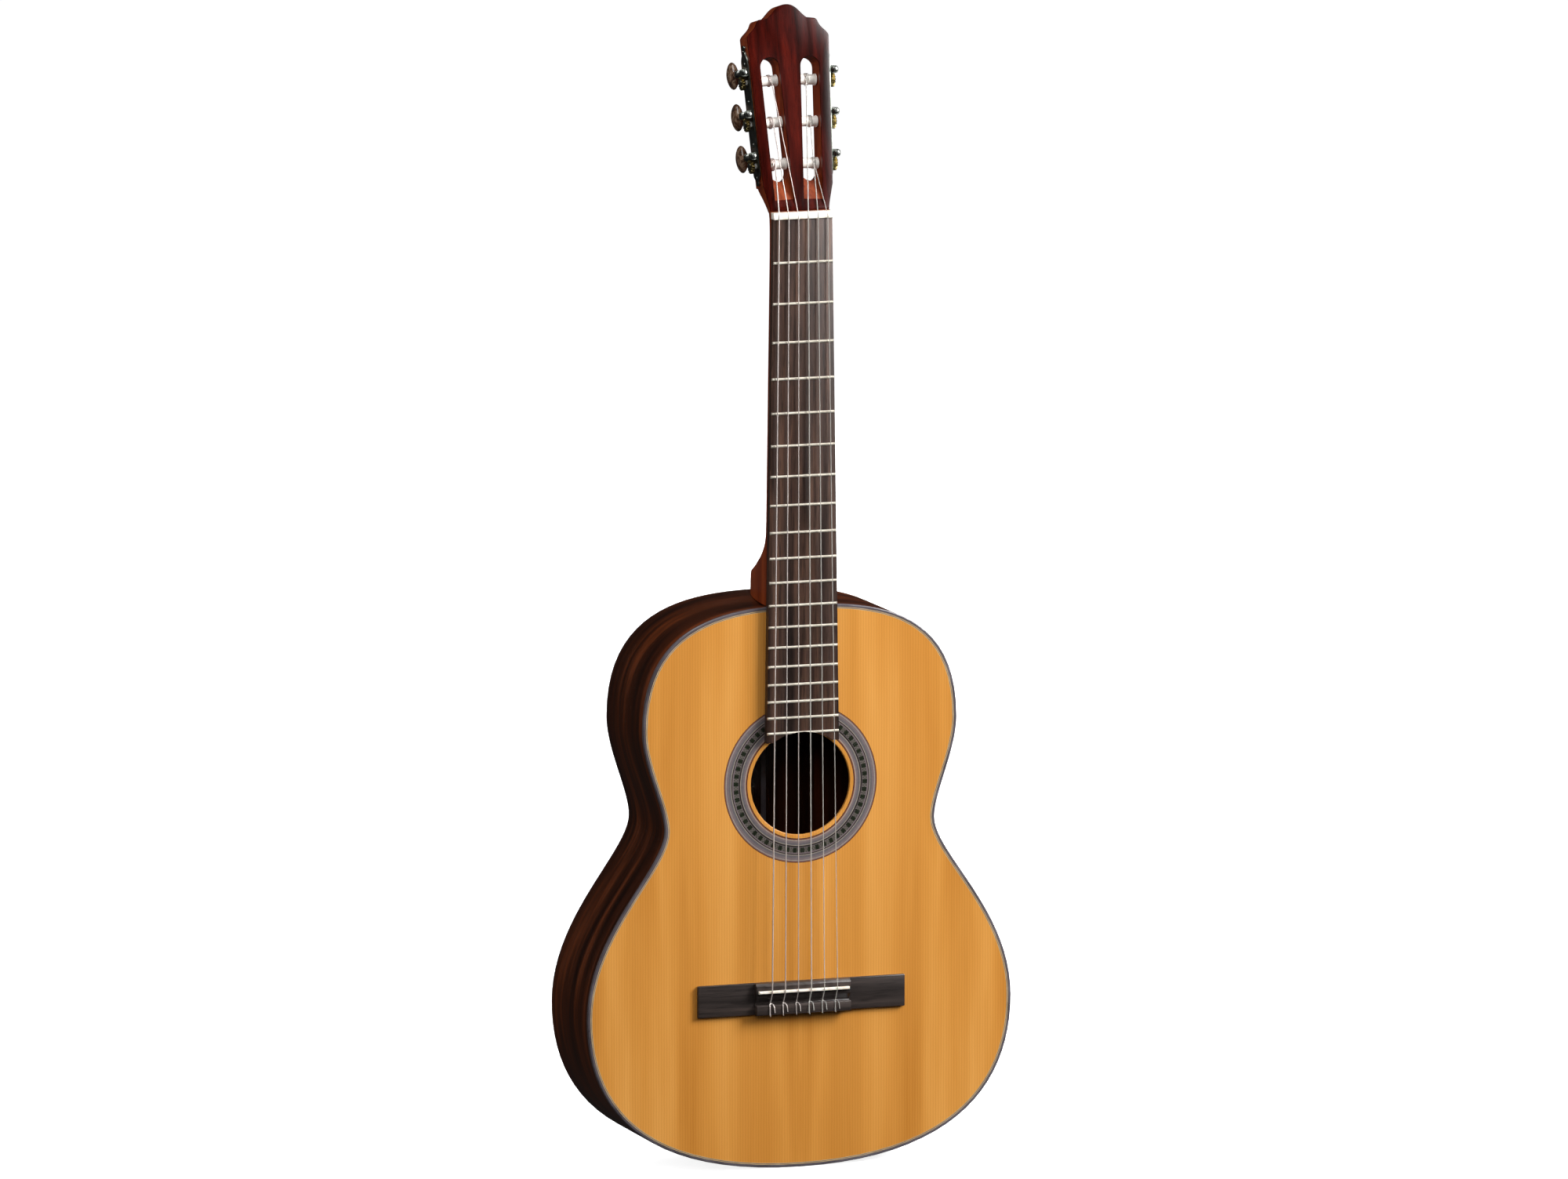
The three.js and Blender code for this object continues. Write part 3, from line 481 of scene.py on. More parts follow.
def veneer_lines():
    """Thin dyed veneers, each a fraction of a millimetre, told apart by their distance from the middle."""
    finish, place = new_finish("rosette_veneers")
    distance = polar_place(finish, place)[0]
    band = {"Value": distance, "From Min": ROSETTE["inner"] * MM, "From Max": ROSETTE["outer"] * MM}
    black, mauve, pale = (0.020, 0.016, 0.015), (0.155, 0.120, 0.125), (0.300, 0.255, 0.215)
    red, grey = (0.190, 0.060, 0.035), (0.110, 0.100, 0.105)
    veneers = [
        (0.0, black), (0.03, red), (0.07, pale), (0.11, mauve), (0.19, grey), (0.27, pale), (0.30, black),
        (0.36, mauve), (0.64, black), (0.68, pale), (0.71, grey), (0.80, mauve), (0.89, pale), (0.92, mauve),
        (0.95, red), (0.975, black),
    ]
    lines = ramp(finish, shader_node(finish, "MapRange", band), veneers, "CONSTANT")
    dye = between(finish, noise(finish, place, 420.0, 3.0), 0.75, 1.25)
    dyed = times(finish, 1.0, lines, dye)
    return surfaced(finish, {"Base Color": dyed, "Roughness": 0.32, **INLAY_LACQUER})


def checker(finish, across, along, dark, light):
    """Squares of two colours, one square to each whole number across and along."""
    grid = shader_node(finish, "CombineXYZ", {0: across, 1: along, 2: 0.5})
    return shader_node(
        finish, "TexChecker", {"Vector": grid, "Color1": (*dark, 1), "Color2": (*light, 1), "Scale": 1.0}
    )


def mosaic():
    """Dashes of dark green and grey end grain round the hole, each made of tiny squares."""
    finish, place = new_finish("rosette_mosaic")
    distance, angle = polar_place(finish, place)
    turns = shader_node(finish, "Math", {0: angle, 1: DASHES / pi}, operation="MULTIPLY")
    rows = shader_node(finish, "Math", {0: distance, 1: 1000 / MOSAIC_SQUARE}, operation="MULTIPLY")
    finer = shader_node(finish, "Math", {0: turns, 1: 3.0}, operation="MULTIPLY")
    dashes = checker(finish, turns, 0.5, (0.016, 0.022, 0.011), (0.135, 0.120, 0.105))
    squares = checker(finish, finer, rows, (0.55, 0.55, 0.55), WHITE)
    grain = times(finish, 0.35, times(finish, 1.0, dashes, squares), noise(finish, place, 900.0))
    return surfaced(finish, {"Base Color": grain, "Roughness": 0.3, **INLAY_LACQUER})


def mosaic_tiles():
    """One wedge of mosaic, spun round the hole into the whole ring."""
    middle = (TILE_RING["inner"] + TILE_RING["outer"]) / 2
    width = TILE_RING["outer"] - TILE_RING["inner"] - 0.1
    step = 2 * pi * middle / TILE_RING["tiles"] - TILE_RING["joint"]
    first = (0, TILE_RING["bed"] / 2 * MM, (HOLE["station"] + middle) * MM)
    tiles = primitive("rosette_tiles", bpy.ops.mesh.primitive_cube_add, size=1, location=first)
    tiles.scale = (step * MM, TILE_RING["bed"] * MM, width * MM)
    bpy.ops.object.transform_apply()
    open_mesh("EDGE")
    select_parts(tiles, "EDGE", lambda e: all(v.co.y < 0.1 * MM for v in e.verts))
    bpy.ops.mesh.bevel(offset=0.06 * MM, segments=1)
    bpy.ops.mesh.select_all(action="SELECT")
    bpy.ops.mesh.spin(
        steps=TILE_RING["tiles"], dupli=True, angle=2 * pi,
        center=(0, 0, HOLE["station"] * MM), axis=(0, 1, 0),
    )
    bpy.ops.mesh.select_all(action="SELECT")
    bpy.ops.mesh.remove_doubles(threshold=0.01 * MM)
    close_mesh()
    return tiles


veneers = veneer_lines()
inner, outer, bed_depth, channel = TILE_RING["inner"], TILE_RING["outer"], TILE_RING["bed"], ROSETTE["depth"]
outer_veneers = ring_inlay("rosette_outer_veneers", outer, ROSETTE["outer"], 0, channel)
fit(outer_veneers, veneers, "rosette_wood", nodes=["rosette"])
fit(ring_inlay("rosette_inner_veneers", ROSETTE["inner"], inner, 0, channel), veneers, "rosette_wood")
fit(ring_inlay("rosette_bed", inner, outer, bed_depth, channel), veneers, "rosette_wood")
fit(mosaic_tiles(), mosaic(), "rosette_wood")

# ---- Bindings and purfling ----
# Strips of dark wood glued in a ledge along both edges of the body and scraped round on the corner.
# Inside the front one lie three hair-thin veneers, pale, black and pale.

BINDING_STRIP = 2.5
PURFLING_EDGES = [BINDING_STRIP, 3.05, 3.5, BINDING_WIDTH]

ebony_strip = wood(
    "dark_binding",
    [(0.060, 0.050, 0.056), (0.095, 0.082, 0.092), (0.135, 0.120, 0.132)],
    across=(30, 300, 30),
    gloss=0.28,
    coat=0.8,
    relief=0.04,
)
maple_line = wood(
    "pale_purfling",
    [(0.40, 0.27, 0.13), (0.52, 0.38, 0.20)],
    across=(120, 300, 120),
    gloss=0.35,
    coat=0.35,
    relief=0.03,
)
BODY_MIDDLE = Vector((0, 0, (BODY_BOTTOM + BODY_LENGTH / 2) * MM))


def faces_outwards(face):
    return abs(face.normal.y) < 0.3 and face.normal.dot(face.calc_center_median() - BODY_MIDDLE) > 0


def edge_strip(name, outer, inner, front, back, corner=None):
    """One strip of a body edge. corner is the station of the outer edge that is scraped round."""
    strip = body_sheet(name, outer, inner)
    thicken(strip, front, back)
    if corner is not None:
        bpy.ops.object.mode_set(mode="EDIT")
        on_corner = lambda e: all(abs(v.co.y - corner * MM) < 0.05 * MM for v in e.verts) and any(
            faces_outwards(face) for face in e.link_faces
        )
        select_parts(strip, "EDGE", on_corner)
        bpy.ops.mesh.bevel(offset=0.9 * MM, segments=4)
        bpy.ops.object.mode_set(mode="OBJECT")
    return smooth(strip, 35)


fit(
    edge_strip("front_binding", 0, BINDING_STRIP, 0, PLATE_THICKNESS, corner=0),
    ebony_strip,
    "binding",
    nodes=["binding_front"],
)
for line, (outer, inner) in enumerate(zip(PURFLING_EDGES, PURFLING_EDGES[1:])):
    stripe = edge_strip(f"front_purfling_{line + 1}", outer, inner, 0, PLATE_THICKNESS)
    fit(stripe, ebony_strip if line == 1 else maple_line, "binding")
fit(
    edge_strip("back_binding", 0, BINDING_STRIP, BODY_DEPTH - PLATE_THICKNESS, BODY_DEPTH, corner=BODY_DEPTH),
    ebony_strip,
    "binding",
    nodes=["binding_back"],
)
back_line = edge_strip(
    "back_purfling", BINDING_STRIP, BINDING_WIDTH, BODY_DEPTH - PLATE_THICKNESS, BODY_DEPTH
)
fit(back_line, maple_line, "binding")

# ---- Sides ----
# Two ribs of dark rosewood, bent over a hot iron and glued between the plates.
# They stop either side of a narrow strip at the tail, and the heel covers their joint at the neck.

RIB_THICKNESS = 2.2
TAIL_STRIP_HALF_WIDTH = 3

rosewood_rib = wood(
    "rosewood_along_the_rib",
    [(0.010, 0.0022, 0.0007), (0.042, 0.0092, 0.0020), (0.140, 0.0310, 0.0065)],
    across=(5, 75, 5),
    pores=0.4,
    gloss=0.36,
    coat=0.2,
    relief=0.05,
    shine=0.2,
)


def cut_away(place, direction):
    """In edit mode, cuts the piece at a plane and keeps what lies in the direction, with the cut closed."""
    bpy.ops.mesh.select_all(action="SELECT")
    bpy.ops.mesh.bisect(plane_co=place, plane_no=direction, use_fill=True, clear_inner=True)
    close_mesh()


def rib(name, side):
    """Half of the bent rib: the outline drawn out to the body's depth, thickened and cut at the middle."""
    strip = draw_body_outline(name)
    open_mesh("EDGE")
    bpy.ops.transform.translate(value=(0, PLATE_THICKNESS * MM, 0))
    draw_out((0, (BODY_DEPTH - 2 * PLATE_THICKNESS) * MM, 0))
    close_mesh()
    outwards = sum(p.normal.dot(p.center - BODY_MIDDLE) for p in strip.data.polygons) > 0
    reshape(strip, "SOLIDIFY", thickness=RIB_THICKNESS * MM, offset=-1 if outwards else 1)
    bpy.ops.object.mode_set(mode="EDIT")
    cut_away((side * TAIL_STRIP_HALF_WIDTH * MM, 0, 0), (side, 0, 0))
    return smooth(strip, 30)


for side, label in ((-1, "bass"), (1, "treble")):
    fit(rib(f"{label}_rib", side), rosewood_rib, "dark_wood", nodes=[f"side_{label}"])

# ---- Tail strip ----
# A narrow inlay of pale maple that covers the joint of the ribs at the tail.
# It is let in flush between them and lacquered with the sides.


def add_block(name, low, high):
    """A block from its lowest to its highest corner, in millimetres."""
    middle = [(a + b) / 2 * MM for a, b in zip(low, high)]
    block = primitive(name, bpy.ops.mesh.primitive_cube_add, size=1, location=middle)
    block.scale = [(b - a) * MM for a, b in zip(low, high)]
    bpy.ops.object.transform_apply()
    return block


tail_strip = add_block(
    "tail_strip",
    (-TAIL_STRIP_HALF_WIDTH, PLATE_THICKNESS, BODY_BOTTOM),
    (TAIL_STRIP_HALF_WIDTH, BODY_DEPTH - PLATE_THICKNESS, BODY_BOTTOM + RIB_THICKNESS),
)
ease_edges(tail_strip, 0.15, 1)
fit(tail_strip, maple_line, "binding")

# ---- Back ----
# Two book-matched plates of the same rosewood, glued up flat and lacquered.
# A dark strip is let in along their joint.

CENTRE_STRIP_HALF_WIDTH = 2.2

rosewood_plate = wood(
    "rosewood_plate",
    [(0.012, 0.0038, 0.0022), (0.030, 0.0080, 0.0035), (0.075, 0.0160, 0.0060)],
    across=(70, 20, 2.2),
    matched=True,
    pores=0.45,
    gloss=0.28,
    coat=0.7,
    relief=0.05,
)


def back_half(name, side):
    half = body_sheet(name, BINDING_WIDTH)
    thicken(half, BODY_DEPTH - PLATE_THICKNESS, BODY_DEPTH)
    bpy.ops.object.mode_set(mode="EDIT")
    cut_away((side * CENTRE_STRIP_HALF_WIDTH * MM, 0, 0), (side, 0, 0))
    return smooth(half, 35)


fit(back_half("back_bass_half", -1), rosewood_plate, "dark_wood", nodes=["back"])
fit(back_half("back_treble_half", 1), rosewood_plate, "dark_wood")
centre_strip = add_block(
    "back_centre_strip",
    (-CENTRE_STRIP_HALF_WIDTH, BODY_DEPTH - PLATE_THICKNESS, BODY_BOTTOM + BINDING_WIDTH),
    (CENTRE_STRIP_HALF_WIDTH, BODY_DEPTH, BODY_TOP - BINDING_WIDTH),
)
ease_edges(centre_strip, 0.15, 1)
fit(centre_strip, ebony_strip, "dark_wood")

# ---- Inside the body ----
# Blocks, linings and braces of plain quarter-sawn spruce and mahogany, seen only through the soundhole.
# They are glued to the plates and ribs and left bare.


def dress(node, finish):
    """Gives a CAD node that is shown as it is a finish of its own."""
    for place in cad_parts[node].material_slots:
        place.material = finish


spruce_inside = wood(
    "bare_spruce",
    [(0.34, 0.20, 0.09), (0.46, 0.30, 0.15)],
    across=(60, 60, 8),
    gloss=0.6,
    coat=0.0,
    relief=0.15,
)
mahogany_inside = wood(
    "bare_mahogany",
    [(0.13, 0.040, 0.018), (0.22, 0.075, 0.032)],
    across=(60, 60, 5),
    pores=0.3,
    gloss=0.55,
    coat=0.0,
    relief=0.12,
)
for node in ("neck_block", "tail_block"):
    dress(node, mahogany_inside)
for node in ("lining_front", "lining_back", "harmonic_bar_upper", "harmonic_bar_lower"):
    dress(node, spruce_inside)
for place in range(1, 6):
    dress(f"fan_brace_{place}", spruce_inside)
for place in range(1, 4):
    dress(f"back_brace_{place}", spruce_inside)

# ---- Neck ----
# One piece of mahogany stained red: a slim rounded shaft, a deep heel against the body and the
# head, bandsawn to its outline, with two long slots for the strings and bores for the rollers.

NUT_HALF_WIDTH = 26
HALF_WIDTH_GROWTH = 4.5 / 325
HEAD_TILT = radians(12)
HEAD_LEAN = radians(2.5)
HEAD_THICKNESS = 20
VENEER_THICKNESS = 1.7
VENEER_START = 6.6
HEAD_CORNER = {"half_width": 36, "height": 152}
MIDDLE_ROLLER = {"height": 80.5, "depth": 10.5}
ROLLER_PITCH = 35
SLOT = {"width": 17, "from_side": 17.2, "bottom": -50, "top": 54}
RAMP_LENGTH = 22
RAMP_DEPTH = 7
JOURNAL_RADIUS = 2.3
HEEL_BACK = BODY_DEPTH - PLATE_THICKNESS
HEAD_FRAME = Matrix.Rotation(-HEAD_TILT, 4, "X")


def neck_half_width(z):
    return NUT_HALF_WIDTH - z * HALF_WIDTH_GROWTH


def head_half_width(height):
    return HEAD_CORNER["half_width"] - (HEAD_CORNER["height"] - height) * tan(HEAD_LEAN)


def machine_frame(side):
    """One side's machine frame: x square to the head's side, z along it, origin at the middle roller."""
    place = Matrix.Translation(
        (
            side * head_half_width(MIDDLE_ROLLER["height"]) * MM,
            MIDDLE_ROLLER["depth"] * MM,
            MIDDLE_ROLLER["height"] * MM,
        )
    )
    return HEAD_FRAME @ place @ Matrix.Rotation(side * HEAD_LEAN, 4, "Y")


def wrap_grid(name, rings):
    """A grid bent round into a closed tube: one row of its points on each ring, in millimetres."""
    around = len(rings[0])
    tube = primitive(
        name, bpy.ops.mesh.primitive_grid_add, x_subdivisions=around, y_subdivisions=len(rings) - 1, size=1
    )
    for index, vertex in enumerate(tube.data.vertices):
        row, column = divmod(index, around + 1)
        vertex.co = Vector(rings[row][column % around]) * MM
    open_mesh("VERT")
    bpy.ops.mesh.remove_doubles(threshold=0.001 * MM)
    bpy.ops.mesh.select_all(action="SELECT")
    bpy.ops.mesh.fill_holes(sides=0)
    close_mesh()
    return tube


def cut_from_sheet(name, corners, push):
    """A flat shape with these corners, in millimetres, drawn out by push."""
    sheet = primitive(name, bpy.ops.mesh.primitive_circle_add, vertices=len(corners), fill_type="NGON")
    for vertex, corner in zip(sheet.data.vertices, corners):
        vertex.co = Vector(corner) * MM
    open_mesh("FACE")
    draw_out(Vector(push) * MM)
    close_mesh()
    return sheet


def rod(name, radius, start, end, sides=32):
    """A straight round bar between two points, in millimetres."""
    start, end = Vector(start) * MM, Vector(end) * MM
    turn = (end - start).to_track_quat("Z", "Y").to_euler()
    bar = primitive(
        name, bpy.ops.mesh.primitive_cylinder_add, vertices=sides, radius=radius * MM,
        depth=(end - start).length, location=(start + end) / 2, rotation=turn,
    )
    bpy.ops.object.transform_apply()
    return bar


def carve(piece, tool, operation="DIFFERENCE"):
    """Cuts a tool's shape out of a piece, or joins it on, and takes the tool away."""
    reshape(piece, "BOOLEAN", operation=operation, solver="EXACT", object=tool)
    bpy.data.objects.remove(tool)


def moved(piece, matrix):
    piece.data.transform(matrix)
    return piece


def fair(stations, values, at):
    """The smooth curve through values at rising stations, with no overshoot between them."""
    slopes = [(b - a) / (t - s) for s, t, a, b in zip(stations, stations[1:], values, values[1:])]
    tangents = [slopes[0]]
    for before, after in zip(slopes, slopes[1:]):
        tangents.append(2 * before * after / (before + after) if before * after > 0 else 0)
    tangents.append(slopes[-1])
    span = max(i for i in range(len(slopes)) if i == 0 or stations[i] <= at)
    width = stations[span + 1] - stations[span]
    t = (at - stations[span]) / width
    return (
        values[span] * (2 * t**3 - 3 * t**2 + 1)
        + tangents[span] * width * (t**3 - 2 * t**2 + t)
        + values[span + 1] * (3 * t**2 - 2 * t**3)
        + tangents[span + 1] * width * (t**3 - t**2)
    )


def neck_ring(front, tilt, half_width, depth, fullness, flat_at=1000):
    """A ring round the neck, flat in front and rounded behind. Fullness 2 is an ellipse, more is squarer."""
    steps = 40
    ring = []
    for k in range(steps + 1):
        angle = pi * k / steps
        across = abs(cos(angle)) ** (2 / fullness) * (1 if cos(angle) >= 0 else -1)
        behind = min(depth * abs(sin(angle)) ** (2 / fullness), flat_at)
        ring.append((half_width * across, front[0] + behind * cos(tilt), front[1] - behind * sin(tilt)))
    return ring


def neck_rings():
    shaft = [
        (-325.5, 104, 1.7),
        (-308, 97, 1.85),
        (-302, 82, 2),
        (-294, 60, 2.3),
        (-287, 42, 2.6),
        (-280, 28, 2.8),
        (-272, 19.5, 2.6),
        (-262, 17.2, 2.3),
        (-30, 15.6, 2.3),
        (-12, 17.2, 2.3),
    ]
    stations, depths, fullnesses = zip(*shaft)
    steps = [-325.5 + 1.5 * k for k in range(43)] + [-262 + 10 * k for k in range(1, 23)] + [-32, -24, -18]
    rings = [
        neck_ring(
            (0, z), 0, neck_half_width(z), fair(stations, depths, z), fair(stations, fullnesses, z), HEEL_BACK
        )
        for z in sorted(steps)
    ]
    rings += [
        neck_ring((0, -12), HEAD_TILT / 4, NUT_HALF_WIDTH + 0.16, 17.2, 2.3),
        neck_ring((0, -6), HEAD_TILT / 3, NUT_HALF_WIDTH + 0.08, 18.3, 2.35),
        neck_ring((0, 0), HEAD_TILT / 2, NUT_HALF_WIDTH, 19.7, 2.4),
        neck_ring((0, 5.7), HEAD_TILT, NUT_HALF_WIDTH, 21.2, 2.6),
    ]
    waist = [(VENEER_START, 26, 2.6), (10, 26.6, 3), (18, 28.2, 5), (28, head_half_width(28), 14)]
    heights, widths, squareness = zip(*waist)
    for height in (VENEER_START, 8, 10, 12.5, 15, 18, 21, 24.5, 28):
        front = HEAD_FRAME @ Vector((0, VENEER_THICKNESS, height))
        rings.append(
            neck_ring(
                (front.y, front.z),
                HEAD_TILT,
                fair(heights, widths, height),
                HEAD_THICKNESS - VENEER_THICKNESS,
                fair(heights, squareness, height),
            )
        )
    return rings


def bezier(start, start_handle, end_handle, end, steps=10):
    """Points along one curve, without its first."""
    points = []
    for k in range(1, steps + 1):
        t = k / steps
        weights = ((1 - t) ** 3, 3 * t * (1 - t) ** 2, 3 * t * t * (1 - t), t**3)
        pulls = (start, start_handle, end_handle, end)
        points.append(tuple(sum(w * p[i] for w, p in zip(weights, pulls)) for i in (0, 1)))
    return points


def head_outline(foot):
    """The head's outline: a foot, straight sides, then a stepped crest with a round middle."""
    corner_x, corner_z = HEAD_CORNER["half_width"], HEAD_CORNER["height"]
    shelf = (17.5, corner_z + 15.5)
    half = foot + [(corner_x, corner_z)]
    half += bezier(half[-1], (corner_x - 1, corner_z + 4), (29, corner_z + 6), (27, corner_z + 12))
    half += bezier(half[-1], (26.4, corner_z + 13.7), (25.2, corner_z + 14.6), (23.5, corner_z + 14.8), 5)
    half += [shelf]
    half += bezier(shelf, (12, corner_z + 19), (9, corner_z + 27), (0, corner_z + 27), 14)
    return half + [(-x, z) for x, z in reversed(half[:-1])]


def cut_head_openings(piece):
    """Takes the string slots, their ramps and the roller bores out of the neck's head or its veneer."""
    for side in (-1, 1):
        frame_here = machine_frame(side)
        middle = -side * SLOT["from_side"]
        radius = SLOT["width"] / 2
        corners = []
        for end in (0, 1):
            centre = SLOT["bottom"] + radius if end else SLOT["top"] - radius
            for k in range(17):
                angle = pi * (end + k / 16)
                corners.append((middle + radius * cos(angle), -16, centre + radius * sin(angle)))
        carve(piece, moved(cut_from_sheet("slot_cutter", corners, (0, 40, 0)), frame_here))
        face = -MIDDLE_ROLLER["depth"]
        ramp_top = SLOT["bottom"] + radius
        overrun = 3
        profile = [
            (face - overrun, ramp_top),
            (face + RAMP_DEPTH, ramp_top),
            (face + RAMP_DEPTH, SLOT["bottom"] + 1),
            (face - overrun, SLOT["bottom"] + 1 - RAMP_LENGTH * (1 + overrun / RAMP_DEPTH)),
        ]
        ramp = cut_from_sheet(
            "ramp_cutter", [(middle - radius, y, z) for y, z in profile], (SLOT["width"], 0, 0)
        )
        carve(piece, moved(ramp, frame_here))
        spine_bore = -side * (SLOT["from_side"] + radius + 3.8)
        for place in (-1, 0, 1):
            z = place * ROLLER_PITCH
            bore = rod("bore_cutter", JOURNAL_RADIUS + 0.4, (side * overrun, 0, z), (spine_bore, 0, z), 24)
            carve(piece, moved(bore, frame_here))


mahogany_neck = wood(
    "stained_mahogany",
    [(0.120, 0.0165, 0.0035), (0.195, 0.0300, 0.0058), (0.290, 0.0530, 0.0110)],
    across=(80, 80, 5),
    pores=0.35,
    gloss=0.30,
    coat=0.2,
    relief=0.05,
    shine=0.3,
)


def neck_and_head():
    neck = wrap_grid("neck_and_heel", neck_rings())
    foot = [(head_half_width(27), 27)]
    corners = [(x, VENEER_THICKNESS, z) for x, z in head_outline(foot)]
    head = cut_from_sheet("head_wood", corners, (0, HEAD_THICKNESS - VENEER_THICKNESS, 0))
    ease_edges(head, 0.8, 3, 50)
    carve(neck, moved(head, HEAD_FRAME), "UNION")
    cut_head_openings(neck)
    return smooth(neck, 38)


fit(neck_and_head(), mahogany_neck, "neck_wood", nodes=["neck"])

# ---- Heel cap ----
# A small shield of the back's rosewood glued on the heel's foot.
# It is sawn to the heel's outline and its edges are eased.


def heel_cap():
    half = [(10.2, -325.5)]
    half += bezier(half[0], (9.4, -319), (7.4, -311), (0, -304), 10)
    outline = half + [(-x, z) for x, z in reversed(half[:-1])]
    corners = [(x, HEEL_BACK, z) for x, z in outline]
    cap = cut_from_sheet("heel_cap_shield", corners, (0, PLATE_THICKNESS, 0))
    ease_edges(cap, 0.4, 2, 50)
    return smooth(cap)


fit(heel_cap(), rosewood_plate, "dark_wood", nodes=["heel_cap"])

# ---- Head veneer ----
# A sheet of dark red striped wood glued over the head's face.
# Its slots are cut with the head's own and its edges are eased.

striped_veneer = wood(
    "striped_red_veneer",
    [(0.009, 0.0008, 0.0003), (0.032, 0.0015, 0.0004), (0.066, 0.0036, 0.0009)],
    across=(150, 60, 7),
    pores=0.3,
    gloss=0.30,
    coat=0.08,
    relief=0.04,
    shine=0.12,
)


def veneer_sheet():
    foot = [(26, VENEER_START)] + bezier((26, VENEER_START), (26.2, 11), (28.4, 19), (30.6, 28), 8)
    corners = [(x, 0, z) for x, z in head_outline(foot)]
    sheet = cut_from_sheet("head_veneer_sheet", corners, (0, VENEER_THICKNESS, 0))
    ease_edges(sheet, 0.3, 2, 50)
    moved(sheet, HEAD_FRAME)
    cut_head_openings(sheet)
    return smooth(sheet)


fit(veneer_sheet(), striped_veneer, "neck_wood", nodes=["head_veneer"])

# ---- Fingerboard ----
# A plank of dark rosewood glued on the neck and soundboard and cut round at the soundhole.
# It is waxed, not lacquered.

FINGERBOARD_THICKNESS = 6.3
FINGERBOARD_END = -441
HOLE_CLEARANCE = 0.6

waxed_rosewood = wood(
    "waxed_rosewood",
    [(0.018, 0.0100, 0.0080), (0.052, 0.0270, 0.0190), (0.130, 0.0640, 0.0400)],
    across=(110, 110, 5),
    pores=0.5,
    gloss=0.42,
    coat=0.1,
    relief=0.12,
)


def hole_cutter():
    front, back = (0, -FINGERBOARD_THICKNESS - 4, HOLE["station"]), (0, 3, HOLE["station"])
    return rod("hole_cutter", HOLE["radius"] + HOLE_CLEARANCE, front, back, ROUND_POINTS)


def fingerboard_plank():
    ends = [(1, FINGERBOARD_END), (1, 0), (-1, 0), (-1, FINGERBOARD_END)]
    corners = [(side * neck_half_width(z), 0, z) for side, z in ends]
    plank = cut_from_sheet("fingerboard_plank", corners, (0, -FINGERBOARD_THICKNESS, 0))
    carve(plank, hole_cutter())
    ease_edges(plank, 0.35, 2, 50)
    return smooth(plank, 35)


fit(fingerboard_plank(), waxed_rosewood, "fingerboard_wood", nodes=["fingerboard"])

# ---- Frets ----
# Nineteen lengths of nickel-silver wire with a round crown, pressed in saw cuts, their ends filed sloping.
# The soundhole's curve takes the middle out of the last one.

SCALE_LENGTH = 650
FRET_COUNT = 19
FRET_WIDTH = 2.2
FRET_HEIGHT = 1.0


def metal(name, colour, shade, roughness, scale=260.0, metallic=1.0):
    """Metal with a faint uneven tarnish between two colours and fine polishing marks."""
    finish, place = new_finish(name)
    marks = noise(finish, shader_node(finish, "Mapping", {"Vector": place}), scale * 6)
    tarnish = noise(finish, place, scale * 0.4, 4.0)
    return surfaced(finish, {
        "Base Color": ramp(finish, tarnish, [(0.35, shade), (0.65, colour)]),
        "Roughness": between(finish, marks, roughness * 0.7, roughness * 1.4),
        "Normal": bumped(finish, marks, 0.05),
        "Metallic": metallic,
    })


fret_wire = metal("fret_nickel_silver", (0.88, 0.82, 0.70), (0.72, 0.66, 0.55), 0.30, metallic=0.5)


def fret(number):
    station = -SCALE_LENGTH * (1 - 2 ** (-number / 12))
    half = neck_half_width(station) - 0.2
    wire = rod(f"fret_{number:02d}", FRET_WIDTH / 2, (-half, 0, station), (half, 0, station), 24)
    for vertex in wire.data.vertices:
        height = -vertex.co.y * FRET_HEIGHT / (FRET_WIDTH / 2)
        filed = max(0, height) * 0.6
        vertex.co.x -= filed if vertex.co.x > 0 else -filed
        vertex.co.y = -height - FINGERBOARD_THICKNESS * MM
    bpy.ops.object.mode_set(mode="EDIT")
    cut_away((0, (0.1 - FINGERBOARD_THICKNESS) * MM, 0), (0, -1, 0))
    if station + FRET_WIDTH / 2 < HOLE["station"] + HOLE["radius"] + HOLE_CLEARANCE + 2:
        carve(wire, hole_cutter())
    return smooth(wire, 40)


for number in range(1, FRET_COUNT + 1):
    fit(fret(number), fret_wire, "nickel")

# ---- Nut ----
# A strip of bone across the end of the fingerboard, sloped back to the head and notched for each string.
# The strings' pull holds it in place.

NUT = {"length": 5.6, "height": 7.6}
NUT_SPREAD = 43
SADDLE_SPREAD = 58
STRING_DIAMETERS = [1.09, 0.89, 0.74, 1.02, 0.82, 0.71]


def string_x(place, spread):
    return (place / 5 - 0.5) * spread


def bone():
    """Bleached bone: warm white, faintly clouded, with fine dark fibres."""
    finish, place = new_finish("polished_bone")
    clouds = [(0.3, (0.70, 0.62, 0.50)), (0.6, (0.84, 0.80, 0.72))]
    return surfaced(finish, {
        "Base Color": ramp(finish, noise(finish, place, 160.0, 4.0), clouds),
        "Normal": bumped(finish, noise(finish, place, 1400.0), 0.06),
        "Roughness": 0.33,
        "Subsurface Weight": 0.08,
        "Subsurface Scale": 0.002,
    })


polished_bone = bone()


